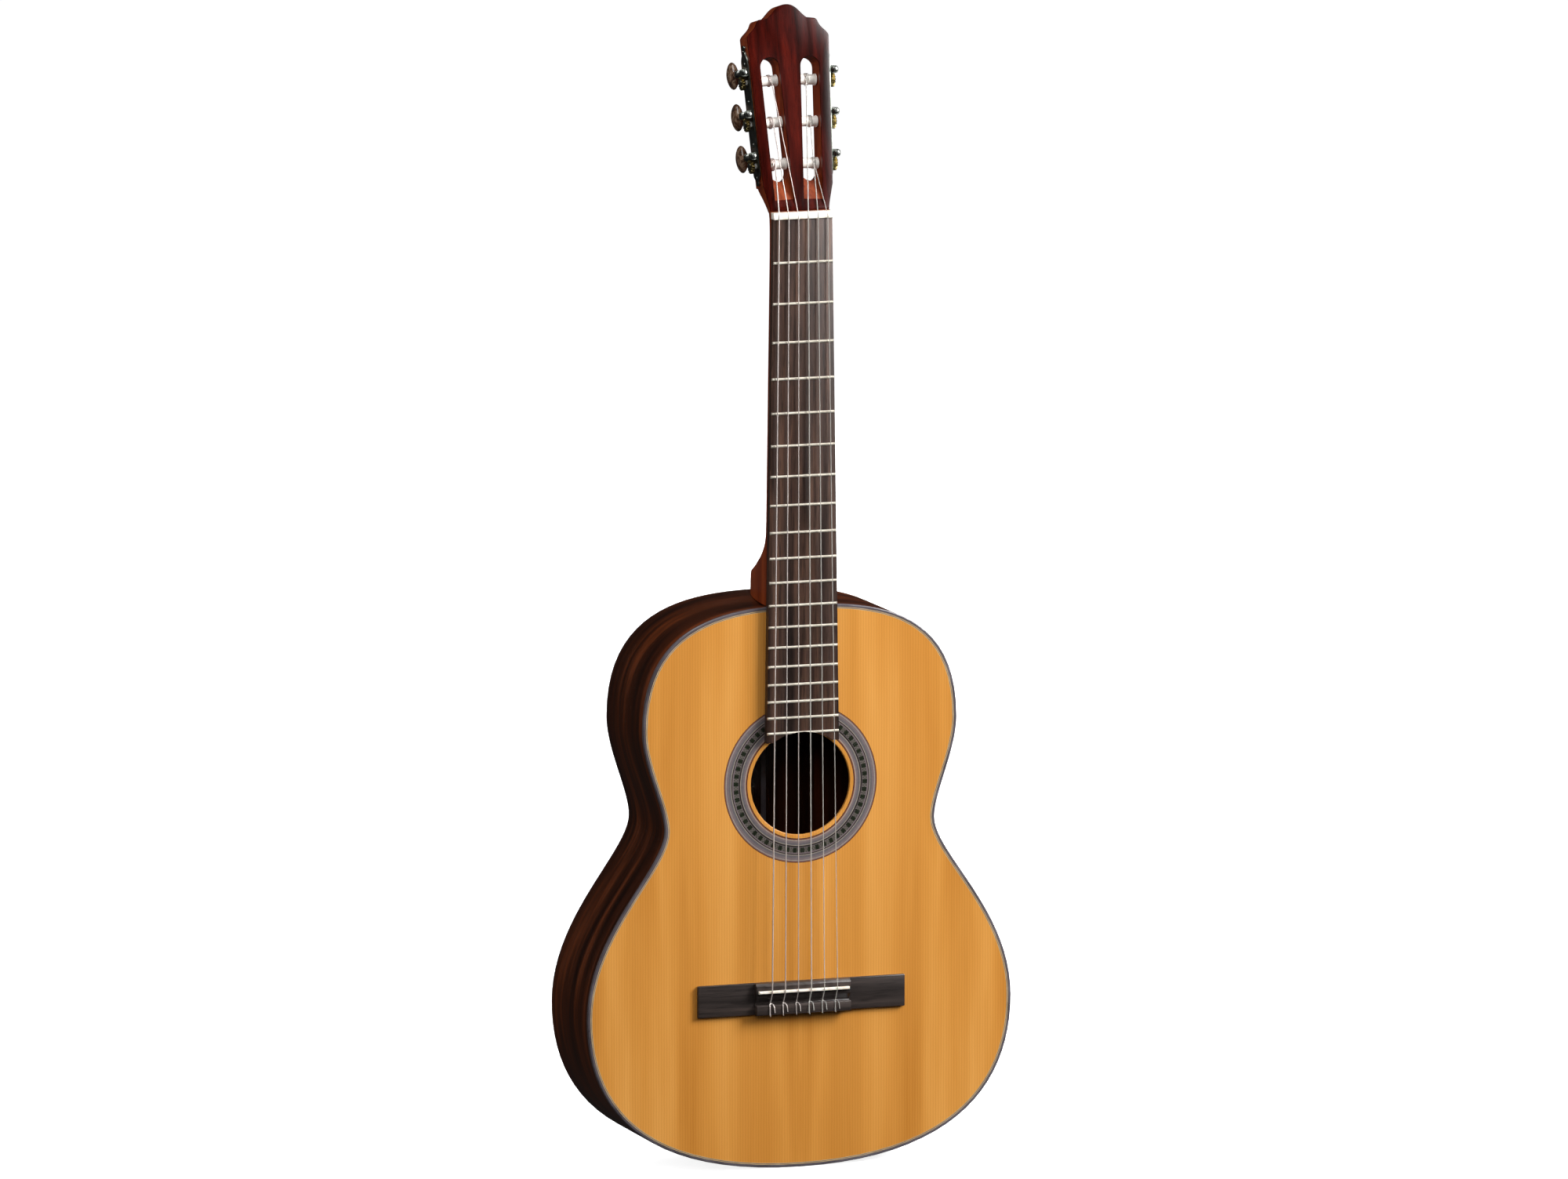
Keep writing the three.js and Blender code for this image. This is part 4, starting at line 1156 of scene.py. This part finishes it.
def nut_strip():
    length, height = NUT["length"], NUT["height"]
    crown = [(-height, 0), (-height - 0.15, 0.8), (-height + 0.1, 2.4), (-height + 1.0, length)]
    profile = [(0, 0)] + crown + [(0, length)]
    corners = [(-NUT_HALF_WIDTH, y, z) for y, z in profile]
    strip = cut_from_sheet("nut_strip", corners, (2 * NUT_HALF_WIDTH, 0, 0))
    ease_edges(strip, 0.3, 3, 30)
    for place, diameter in enumerate(STRING_DIAMETERS):
        x = string_x(place, NUT_SPREAD)
        ends = (x, -height - 0.15, -1), (x, -height + 0.35, length + 1)
        carve(strip, rod("notch_cutter", diameter / 2 + 0.05, *ends, 16))
    return smooth(strip, 35)


fit(nut_strip(), polished_bone, "bone", nodes=["nut"])

# ---- Bridge ----
# A bar of dark rosewood glued on the soundboard: two low wings and a tall middle with the saddle's slot,
# a valley behind it and the tie block, drilled through for the six strings.

BRIDGE = {"half_length": 92, "front": -644.5, "back": -671.7, "wing_height": 3.6, "block_half_length": 42}
TIE_BLOCK_HEIGHT = 9.2
TIE_HOLE_HEIGHT = 5.6
SADDLE = {"station": -652, "height": 11.3, "foot": 3.9, "thickness": 2.4, "half_length": 40.3}

bridge_rosewood = wood(
    "oiled_bridge_rosewood",
    [(0.015, 0.0115, 0.0105), (0.033, 0.025, 0.0225), (0.064, 0.046, 0.040)],
    across=(5, 90, 110),
    pores=0.45,
    gloss=0.36,
    coat=0.25,
    relief=0.1,
)


def bridge_bar():
    front, back, half = BRIDGE["front"], BRIDGE["back"], BRIDGE["half_length"]
    wings = add_block("bridge_bar", (-half, -BRIDGE["wing_height"], back), (half, 0, front))
    ease_edges(wings, 0.9, 3)
    block_half = BRIDGE["block_half_length"]
    profile = [
        (-0.5, front - 0.2),
        (-6.5, front - 0.2),
        (-8.5, front - 2.5),
        (-8.5, front - 12),
        (-4.6, front - 16.3),
        (-4.4, front - 18.4),
        (-TIE_BLOCK_HEIGHT, front - 18.7),
        (-TIE_BLOCK_HEIGHT, back + 0.2),
        (-0.5, back + 0.2),
    ]
    block = cut_from_sheet("bridge_block", [(-block_half, y, z) for y, z in profile], (2 * block_half, 0, 0))
    ease_edges(block, 0.45, 3, 20)
    carve(wings, block, "UNION")
    reach = SADDLE["half_length"] + 0.15
    half_slot = SADDLE["thickness"] / 2 + 0.15
    low = (-reach, -SADDLE["height"], SADDLE["station"] - half_slot)
    high = (reach, 0.2 - SADDLE["foot"], SADDLE["station"] + half_slot)
    carve(wings, add_block("slot_cutter", low, high))
    for place, diameter in enumerate(STRING_DIAMETERS):
        x = string_x(place, SADDLE_SPREAD)
        hole = rod("tie_hole", 0.98, (x, -TIE_HOLE_HEIGHT, back - 3), (x, -TIE_HOLE_HEIGHT, front - 16), 20)
        carve(wings, hole)
    return smooth(wings, 35)


fit(bridge_bar(), bridge_rosewood, "bridge_wood", nodes=["bridge"])

# ---- Saddle ----
# A loose strip of the same bone standing in the bridge's slot, with its crown rounded for the strings.
# Only the strings' pull holds it down.


def saddle_strip():
    half, half_thickness = SADDLE["half_length"], SADDLE["thickness"] / 2
    low = (-half, -SADDLE["height"], SADDLE["station"] - half_thickness)
    high = (half, 0.2 - SADDLE["foot"], SADDLE["station"] + half_thickness)
    strip = add_block("saddle_strip", low, high)
    bpy.ops.object.mode_set(mode="EDIT")
    on_crown = lambda e: all(v.co.y < (0.5 - SADDLE["height"]) * MM for v in e.verts)
    select_parts(strip, "EDGE", on_crown)
    bpy.ops.mesh.bevel(offset=0.95 * MM, segments=5)
    bpy.ops.object.mode_set(mode="OBJECT")
    return smooth(strip, 35)


fit(saddle_strip(), polished_bone, "bone", nodes=["saddle"])

# ---- Strings ----
# Three basses of fine silver-plated wire wound on silk and three clear nylon trebles. Each passes through
# the tie block, loops back over it and under itself, and ends in turns round its roller, through its hole.

ROLLER_RADIUS = 5
NUT_REST = NUT["height"] + 0.05
STRING_FROM_SIDE = [14.5, 16.5, 19]
STRING_TURNS = 2.5
STEPS_PER_TURN = 24
ROOT_OVERLAP = 2


def rounded(points, times=2):
    """The same route with its corners cut again and again, and its ends kept."""
    for _ in range(times):
        cut = [points[0]]
        for a, b in zip(points, points[1:]):
            cut += [a.lerp(b, 0.25), a.lerp(b, 0.75)]
        points = cut + [points[-1]]
    return points


def strand(name, route, radius, sides=6):
    """A round strand along a route of points in millimetres, as a mesh with its ends closed."""
    line = primitive(name, bpy.ops.curve.primitive_nurbs_path_add)
    line.data.splines.clear()
    spline = line.data.splines.new("POLY")
    spline.points.add(len(route) - 1)
    for point, place in zip(spline.points, route):
        point.co = (*(place * MM), 1)
    line.data.bevel_depth = radius * MM
    line.data.bevel_resolution = sides
    line.data.use_fill_caps = True
    bpy.ops.object.convert(target="MESH")
    mesh = bpy.context.object
    open_mesh("VERT")
    bpy.ops.mesh.remove_doubles(threshold=0.001 * MM)
    bpy.ops.mesh.normals_make_consistent(inside=False)
    bpy.ops.object.mode_set(mode="OBJECT")
    return smooth(mesh, 50)


def tie(x, radius):
    """The knot at the bridge: from the cut end, under the string, over the tie block and into its hole."""
    top = -TIE_BLOCK_HEIGHT - radius - 0.1
    front, back = BRIDGE["front"] - 18.6, BRIDGE["back"] - radius - 0.2
    reach = radius + 0.9
    return rounded(
        [
            Vector((x + 2 * reach, top - 0.1, back + 3)),
            Vector((x + 1.6 * reach, top, front - 0.6)),
            Vector((x + 0.8 * reach, top + 2.2, front + 1.0)),
            Vector((x - 0.4 * reach, top + 2.4, front + 1.1)),
            Vector((x - reach, top + 1.0, front + 0.4)),
            Vector((x - 1.1 * reach, top, front - 1.0)),
            Vector((x - reach, top, back + 1.0)),
            Vector((x - 0.5 * reach, top + 0.3, back)),
            Vector((x, -TIE_HOLE_HEIGHT - 0.8, back)),
            Vector((x, -TIE_HOLE_HEIGHT, back + 1.4)),
        ]
    )


def turns_on_roller(side, roller, leaving, radius):
    """Points of the string's turns on its roller, from where it meets it. roller counts from the lowest."""
    frame_here = machine_frame(side)
    start = frame_here.inverted() @ (leaving * MM) / MM
    axis_z = (roller - 1) * ROLLER_PITCH
    turn_radius = ROLLER_RADIUS - 0.6 + radius
    away = hypot(start.y, axis_z - start.z)
    first = atan2(-start.y, axis_z - start.z) - asin(turn_radius / away)
    points = []
    for k in range(round(STRING_TURNS * STEPS_PER_TURN) + 1):
        turn = k / STEPS_PER_TURN
        angle = first + 2 * pi * turn
        x = -side * (STRING_FROM_SIDE[roller] - turn * (2 * radius + 0.05))
        place = Vector((x, -turn_radius * cos(angle), axis_z + turn_radius * sin(angle)))
        points.append(frame_here @ (place * MM) / MM)
    return points


def wound_silver():
    """Fine wire wound close round the core, bumped turn by turn, with painted shade in the grooves between
    turns and a painted highlight on their crowns, which read as dark and bright rings along the string.
    """
    finish, place = new_finish("wound_silver_wire_painted_bands")
    close = {"Vector": place, "Scale": 900.0, "Distortion": 0.0}
    winding = shader_node(finish, "TexWave", close, "Fac", wave_type="BANDS", bands_direction="Z")
    # The base colour's dark bands are painted shade between the turns and its bright bands a painted
    # highlight on them; the bump is the turns' own relief.
    return surfaced(finish, {
        "Base Color": ramp(finish, winding, [(0, (0.42, 0.36, 0.33)), (1, (0.86, 0.78, 0.74))]),
        "Normal": bumped(finish, winding, 0.3),
        "Metallic": 0.5,
        "Roughness": 0.38,
    })


def clear_nylon():
    finish, place = new_finish("clear_nylon")
    haze = [(0, (0.62, 0.60, 0.56)), (1, (0.80, 0.78, 0.74))]
    return surfaced(finish, {
        "Base Color": ramp(finish, noise(finish, place, 90.0), haze),
        "Transmission Weight": 0.65,
        "IOR": 1.5,
        "Roughness": 0.18,
    })


wire, nylon = wound_silver(), clear_nylon()


def add_string(place):
    number = 6 - place
    radius = STRING_DIAMETERS[place] / 2
    bridge_x, nut_x = string_x(place, SADDLE_SPREAD), string_x(place, NUT_SPREAD)
    side = -1 if place < 3 else 1
    roller = place if place < 3 else 5 - place
    crown = -SADDLE["height"] - radius
    crossing = [
        Vector((bridge_x, -TIE_HOLE_HEIGHT, BRIDGE["front"] - 18.4)),
        Vector((bridge_x, crown + 0.55, SADDLE["station"] - 1.0)),
        Vector((bridge_x, crown, SADDLE["station"])),
        Vector((bridge_x, crown, SADDLE["station"] + 1.0)),
        Vector((nut_x, -NUT_REST - 0.02, 0)),
        Vector((nut_x, -NUT_REST, 1.2)),
        Vector((nut_x * 0.995, -NUT_REST + 0.25, 2.6)),
    ]
    turns = turns_on_roller(side, roller, crossing[-1], radius)
    finish, slot = (wire, "wound_string") if place < 3 else (nylon, "nylon")
    route = tie(bridge_x, radius) + crossing + turns[: ROOT_OVERLAP + 1]
    fit(strand(f"string_{number}_strand", route, radius), finish, slot, nodes=[f"string_{number}"])
    frame_here = machine_frame(side)
    last = frame_here.inverted() @ (turns[-1] * MM) / MM
    axis_z = (roller - 1) * ROLLER_PITCH
    into_hole = frame_here @ (Vector((last.x - side * 0.6, 0, axis_z)) * MM) / MM
    end = rounded(turns[-3:] + [turns[-1].lerp(into_hole, 0.5), into_hole], 1)[3:]
    winding = strand(f"string_{number}_turns", turns + end, radius)
    fit(winding, finish, slot, body=f"drum_{number}")


for place in range(6):
    add_string(place)

# ---- Machine plates ----
# A stamped nickel plate, gone dark with age, along each side of the head: scrolled ends, three roller
# holes and a pair of folded lugs for each worm, held by five small round-headed screws.

MACHINE_PLATE = {"gap": 0.3, "thickness": 1.2, "half_width": 8, "bottom": -52, "top": 66}
WORM_ABOVE_ROLLER = 8.1
WORM_FROM_SIDE = 5.2
LUG = {"inner": 5.3, "outer": 7.7, "half_height": 3.2, "reach": 8.6, "bore": 1.9}
MACHINES = [(6, -1, -1), (5, -1, 0), (4, -1, 1), (1, 1, -1), (2, 1, 0), (3, 1, 1)]
PLATE_SCREW_STATIONS = [-45.5, -17.5, 18.5, 50, 60.5]
FIRST_SLOT_TURN = {"bass": 65, "treble": 115, "gear": 55}
SLOT_TURN_PER_MM = 11

aged_nickel = metal("aged_nickel", (0.33, 0.35, 0.31), (0.17, 0.19, 0.165), 0.36, 320.0)
bright_nickel = metal("worm_steel", (0.40, 0.41, 0.38), (0.25, 0.265, 0.245), 0.32, 300.0)


def scroll_end(top, share):
    """Half of one end of the plate, from its shoulder up to its rounded tip."""
    half = MACHINE_PLATE["half_width"]
    shoulder = (half, top - 14 * share)
    points = [shoulder]
    points += bezier(shoulder, (half - 1, top - 8 * share), (2, top - 8 * share), (3, top - 4 * share), 10)
    points += bezier(points[-1], (3.9, top - 1.2 * share), (2.2, top), (0, top), 8)
    return points


def machine_plate(side, label):
    near = side * 0.02
    upper = scroll_end(MACHINE_PLATE["top"], 1)
    lower = [(y, MACHINE_PLATE["bottom"] - z) for y, z in scroll_end(0, 0.7)]
    right = list(reversed(lower)) + upper
    left = [(-y, z) for y, z in reversed(right[1:-1])]
    push = side * (MACHINE_PLATE["gap"] + MACHINE_PLATE["thickness"] - 0.02)
    corners = [(near, y, z) for y, z in right + left]
    plate = cut_from_sheet(f"machine_plate_{label}_stamped", corners, (push, 0, 0))
    ease_edges(plate, 0.25, 2, 50)
    low_x, high_x = sorted((side * (MACHINE_PLATE["gap"] + 0.5), side * LUG["reach"]))
    for place in (-1, 0, 1):
        z = place * ROLLER_PITCH + WORM_ABOVE_ROLLER
        for y_low, y_high in ((-LUG["outer"], -LUG["inner"]), (LUG["inner"], LUG["outer"])):
            z_low, z_high = z - LUG["half_height"], z + LUG["half_height"]
            lug = add_block("lug", (low_x, y_low, z_low), (high_x, y_high, z_high))
            bpy.ops.object.mode_set(mode="EDIT")
            tip = side * LUG["reach"] * MM
            on_tip = lambda e: all(abs(v.co.x - tip) < 0.1 * MM for v in e.verts) and (
                abs(e.verts[0].co.y - e.verts[1].co.y) > 1 * MM
            )
            select_parts(lug, "EDGE", on_tip)
            bpy.ops.mesh.bevel(offset=2.6 * MM, segments=6)
            bpy.ops.object.mode_set(mode="OBJECT")
            ease_edges(lug, 0.15, 1, 60)
            carve(plate, lug, "UNION")
        worm_x = side * WORM_FROM_SIDE
        carve(plate, rod("lug_bore", LUG["bore"], (worm_x, -12, z), (worm_x, 12, z), 24))
        z -= WORM_ABOVE_ROLLER
        carve(plate, rod("roller_bore", JOURNAL_RADIUS + 0.4, (side * -3, 0, z), (side * 3, 0, z), 24))
    return moved(smooth(plate, 35), machine_frame(side))


def turned(name, stations, sides, point):
    """A closed shape with one ring for each station. point gives the ring's place at an angle, in mm."""
    angles = [2 * pi * k / sides for k in range(sides)]
    return wrap_grid(name, [[point(*station, angle) for angle in angles] for station in stations])


def slotted_screw(name, side, radius, foot, height, z, slot_turn):
    """A round-headed screw standing on the machine's side, with its driver slot cut across."""
    profile = [(0.2, 0), (1.0, 0), (1.0, 0.35), (0.86, 0.72), (0.58, 0.94), (0.2, 1.0)]
    head = turned(name, profile, 20, lambda share, rise, angle: (
        side * (foot + rise * height), share * radius * cos(angle), z + share * radius * sin(angle)
    ))
    low_x, high_x = sorted((side * (foot + 0.5 * height), side * (foot + 2 * height)))
    half_slot = radius * 0.13
    driver = add_block("driver_slot", (low_x, -radius - 1, -half_slot), (high_x, radius + 1, half_slot))
    moved(driver, Matrix.Rotation(radians(slot_turn + SLOT_TURN_PER_MM * z), 4, "X"))
    moved(driver, Matrix.Translation((0, 0, z * MM)))
    carve(head, driver)
    return moved(smooth(head, 40), machine_frame(side))


for side, label in ((-1, "bass"), (1, "treble")):
    fit(machine_plate(side, label), aged_nickel, "nickel", nodes=[f"machine_plate_{label}"])
    plate_face = MACHINE_PLATE["gap"] + MACHINE_PLATE["thickness"]
    for index, station in enumerate(PLATE_SCREW_STATIONS):
        radius = 1.9 if station < 60 else 1.5
        name = f"plate_screw_{label}_{index + 1}"
        screw = slotted_screw(name, side, radius, plate_face, 0.9, station, FIRST_SLOT_TURN[label])
        fit(screw, bright_nickel, "nickel")

# ---- Worms ----
# A steel shaft turned with a right-hand thread that drives the gear, and a small knob at its front end.
# It runs in the two lugs on the plate.

GEAR_TEETH = 14
GEAR = {"root": 4.6, "pitch": 5.6, "tip": 6.4, "width": 3.2, "bore": 1.9}
WORM = {"core": 1.55, "tip": 3.1, "half_thread": 3.7, "steps_per_turn": 12, "sides": 24}
WORM_LEAD = 2 * pi * GEAR["pitch"] / GEAR_TEETH
THREAD_REACH = WORM["half_thread"] + 0.6
BUTTON = {"front": 12.6, "depth": 16, "half_thickness": 4, "half_length": 11.5}


def worm_radius(along, angle):
    """The thread's radius: a rounded ridge that climbs one lead each turn and faces the gear midway."""
    phase = (along / WORM_LEAD - (angle - pi) / (2 * pi)) % 1
    ridge = max(0, cos(2 * pi * phase)) ** 1.2
    fade = max(0, min(1, (THREAD_REACH - abs(along)) / 0.9))
    return WORM["core"] + (WORM["tip"] - WORM["core"]) * ridge * fade


def worm_shaft(number, side, z):
    core, shaft_end = WORM["core"], BUTTON["front"] + 4
    steps = round(2 * THREAD_REACH / WORM_LEAD * WORM["steps_per_turn"])
    knob = [(0.3, -10.4), (1.5, -10.35), (2.25, -9.9), (2.5, -9.2), (2.2, -8.5), (1.5, -8.1)]
    thread = [(None, -THREAD_REACH + k * WORM_LEAD / WORM["steps_per_turn"]) for k in range(steps + 1)]
    plain = [(core, 5.0), (core, shaft_end), (0.3, shaft_end)]
    stations = knob + [(core, -7.9), (core, -4.8)] + thread + plain

    def point(radius, along, angle):
        r = worm_radius(along, angle) if radius is None else radius
        return side * WORM_FROM_SIDE + r * sin(angle), along, z + WORM_ABOVE_ROLLER + r * cos(angle)

    shaft = turned(f"worm_{number}_shaft", stations, WORM["sides"], point)
    return moved(smooth(shaft, 40), machine_frame(side))


for number, side, place in MACHINES:
    shaft = worm_shaft(number, side, place * ROLLER_PITCH)
    fit(shaft, bright_nickel, "nickel", f"screw_{number}", [f"worm_{number}"])

# ---- Buttons ----
# An oval finger plate of marbled amber plastic pushed on each worm's shaft, with a short collar.
# It is moulded in one and turns with the worm.


def marbled_plastic():
    """Tortoiseshell plastic: amber and near-black clouds under a moulded shine."""
    finish, place = new_finish("marbled_amber_plastic")
    clouds = [(0.36, (0.020, 0.011, 0.008)), (0.5, (0.12, 0.056, 0.030)), (0.68, (0.32, 0.22, 0.15))]
    return surfaced(finish, {
        "Base Color": ramp(finish, noise(finish, place, 130.0, 4.0, Distortion=1.6), clouds),
        "Roughness": between(finish, noise(finish, place, 900.0, 3.0), 0.15, 0.34),
        "Coat Weight": 0.5,
        "Coat Roughness": 0.1,
    })


marbled = marbled_plastic()


def finger_button(number, side, z):
    """An oval pad that swells out of a round collar: rings from the collar's foot to the pad's far edge."""
    stations = [(0, 1.9, 1.9), (0.02, 2.35, 2.35), (0.10, 2.4, 2.5), (0.16, 2.3, 3.2)]
    for k in range(1, 17):
        t = k / 16
        swell = sqrt(max(0, 1 - (2 * t - 1) ** 2)) ** 0.62
        thick = min(BUTTON["half_thickness"], 2.3 + 1.9 * swell) * min(1, 3.2 * (1 - t) ** 0.55)
        long = 3.2 * (1 - t) + (BUTTON["half_length"] - 3.2 * (1 - t)) * swell
        stations.append((0.16 + 0.84 * t, max(0.25, thick), max(0.5, long)))
    pad = turned(f"button_{number}_pad", stations, 36, lambda share, thick, long, angle: (
        side * WORM_FROM_SIDE + thick * sin(angle),
        BUTTON["front"] + share * BUTTON["depth"],
        z + WORM_ABOVE_ROLLER + long * cos(angle),
    ))
    return moved(smooth(pad, 60), machine_frame(side))


for number, side, place in MACHINES:
    pad = finger_button(number, side, place * ROLLER_PITCH)
    fit(pad, marbled, "button_plastic", f"screw_{number}", [f"button_{number}"])

# ---- Gears and their screws ----
# A brass wheel of fourteen teeth on the end of each roller's shaft, in mesh with the worm.
# One round-headed steel screw holds it.

brass = metal("gear_brass", (0.58, 0.46, 0.20), (0.38, 0.30, 0.12), 0.34, 300.0)


def gear_wheel(number, side, z):
    per_tooth = 10
    rings = []
    half = GEAR["width"] / 2
    for inset, offset in ((0.35, -half), (0, 0.3 - half), (0, half - 0.3), (0.35, half)):
        ring = []
        for k in range(GEAR_TEETH * per_tooth):
            share = k / per_tooth % 1
            flank = min(1, max(0, (0.36 - abs(share - 0.5)) / 0.22))
            angle = 2 * pi * k / (GEAR_TEETH * per_tooth) + pi / 2
            radius = GEAR["root"] + (GEAR["tip"] - GEAR["root"]) * flank * 0.86 - inset
            ring.append((side * WORM_FROM_SIDE + offset, radius * cos(angle), z + radius * sin(angle)))
        rings.append(ring)
    wheel = wrap_grid(f"gear_{number}_wheel", rings)
    bore_ends = [(side * WORM_FROM_SIDE + reach, 0, z) for reach in (-half - 1, half + 1)]
    carve(wheel, rod("gear_bore", GEAR["bore"], *bore_ends, 20))
    return moved(smooth(wheel, 30), machine_frame(side))


GEAR_FACE = WORM_FROM_SIDE + GEAR["width"] / 2
for number, side, place in MACHINES:
    z = place * ROLLER_PITCH
    fit(gear_wheel(number, side, z), brass, "brass", f"drum_{number}", [f"gear_{number}"])
    name = f"gear_screw_{number}"
    screw = slotted_screw(name, side, 2.9, GEAR_FACE + 0.02, 1.1, z, FIRST_SLOT_TURN["gear"])
    fit(screw, bright_nickel, "nickel", f"drum_{number}")

# ---- Rollers ----
# An ivory-white plastic sleeve in the head's slot, flanged at both ends and drilled for the string, on a
# shaft that runs from the gear to a bore in the head's middle.


def ivory_plastic():
    finish, place = new_finish("ivory_roller_plastic")
    clouds = [(0, (0.74, 0.70, 0.63)), (1, (0.90, 0.88, 0.84))]
    return surfaced(finish, {
        "Base Color": ramp(finish, noise(finish, place, 200.0, 3.0), clouds),
        "Normal": bumped(finish, noise(finish, place, 1500.0), 0.05),
        "Roughness": 0.3,
    })


roller_plastic = ivory_plastic()


def string_roller(number, side, place):
    z = place * ROLLER_PITCH
    wall = SLOT["from_side"] - SLOT["width"] / 2
    spine = wall + SLOT["width"]
    near, far = wall + 0.7, spine - 0.7
    journal, flange, waist, square = JOURNAL_RADIUS, ROLLER_RADIUS, ROLLER_RADIUS - 0.7, GEAR["bore"] - 0.1
    shoulder = WORM_FROM_SIDE - GEAR["width"] / 2 - 0.3
    shaft_end = GEAR_FACE + 0.1
    profile = [
        (0.3, -spine - 3.4), (journal - 0.3, -spine - 3.4), (journal, -spine - 3.1), (journal, -far),
        (flange - 0.2, -far), (flange, 0.2 - far), (flange, 1.2 - far), (waist, 1.6 - far),
        (waist, -near - 1.6), (flange, -near - 1.2), (flange, -near - 0.2), (flange - 0.2, -near),
        (journal, -near), (journal, shoulder), (square, shoulder), (square, shaft_end), (0.3, shaft_end),
    ]
    drum = turned(f"roller_{number}_drum", profile, 32, lambda radius, along, angle: (
        side * along, radius * cos(angle), z + radius * sin(angle)
    ))
    string_radius = STRING_DIAMETERS[6 - number] / 2
    hole_x = -side * (STRING_FROM_SIDE[place + 1] - STRING_TURNS * (2 * string_radius + 0.05) + 0.6)
    carve(drum, rod("string_hole", 0.9, (hole_x, -8, z), (hole_x, 8, z), 16))
    return moved(smooth(drum, 35), machine_frame(side))


for number, side, place in MACHINES:
    drum = string_roller(number, side, place)
    fit(drum, roller_plastic, "roller_plastic", f"drum_{number}", [f"roller_{number}"])
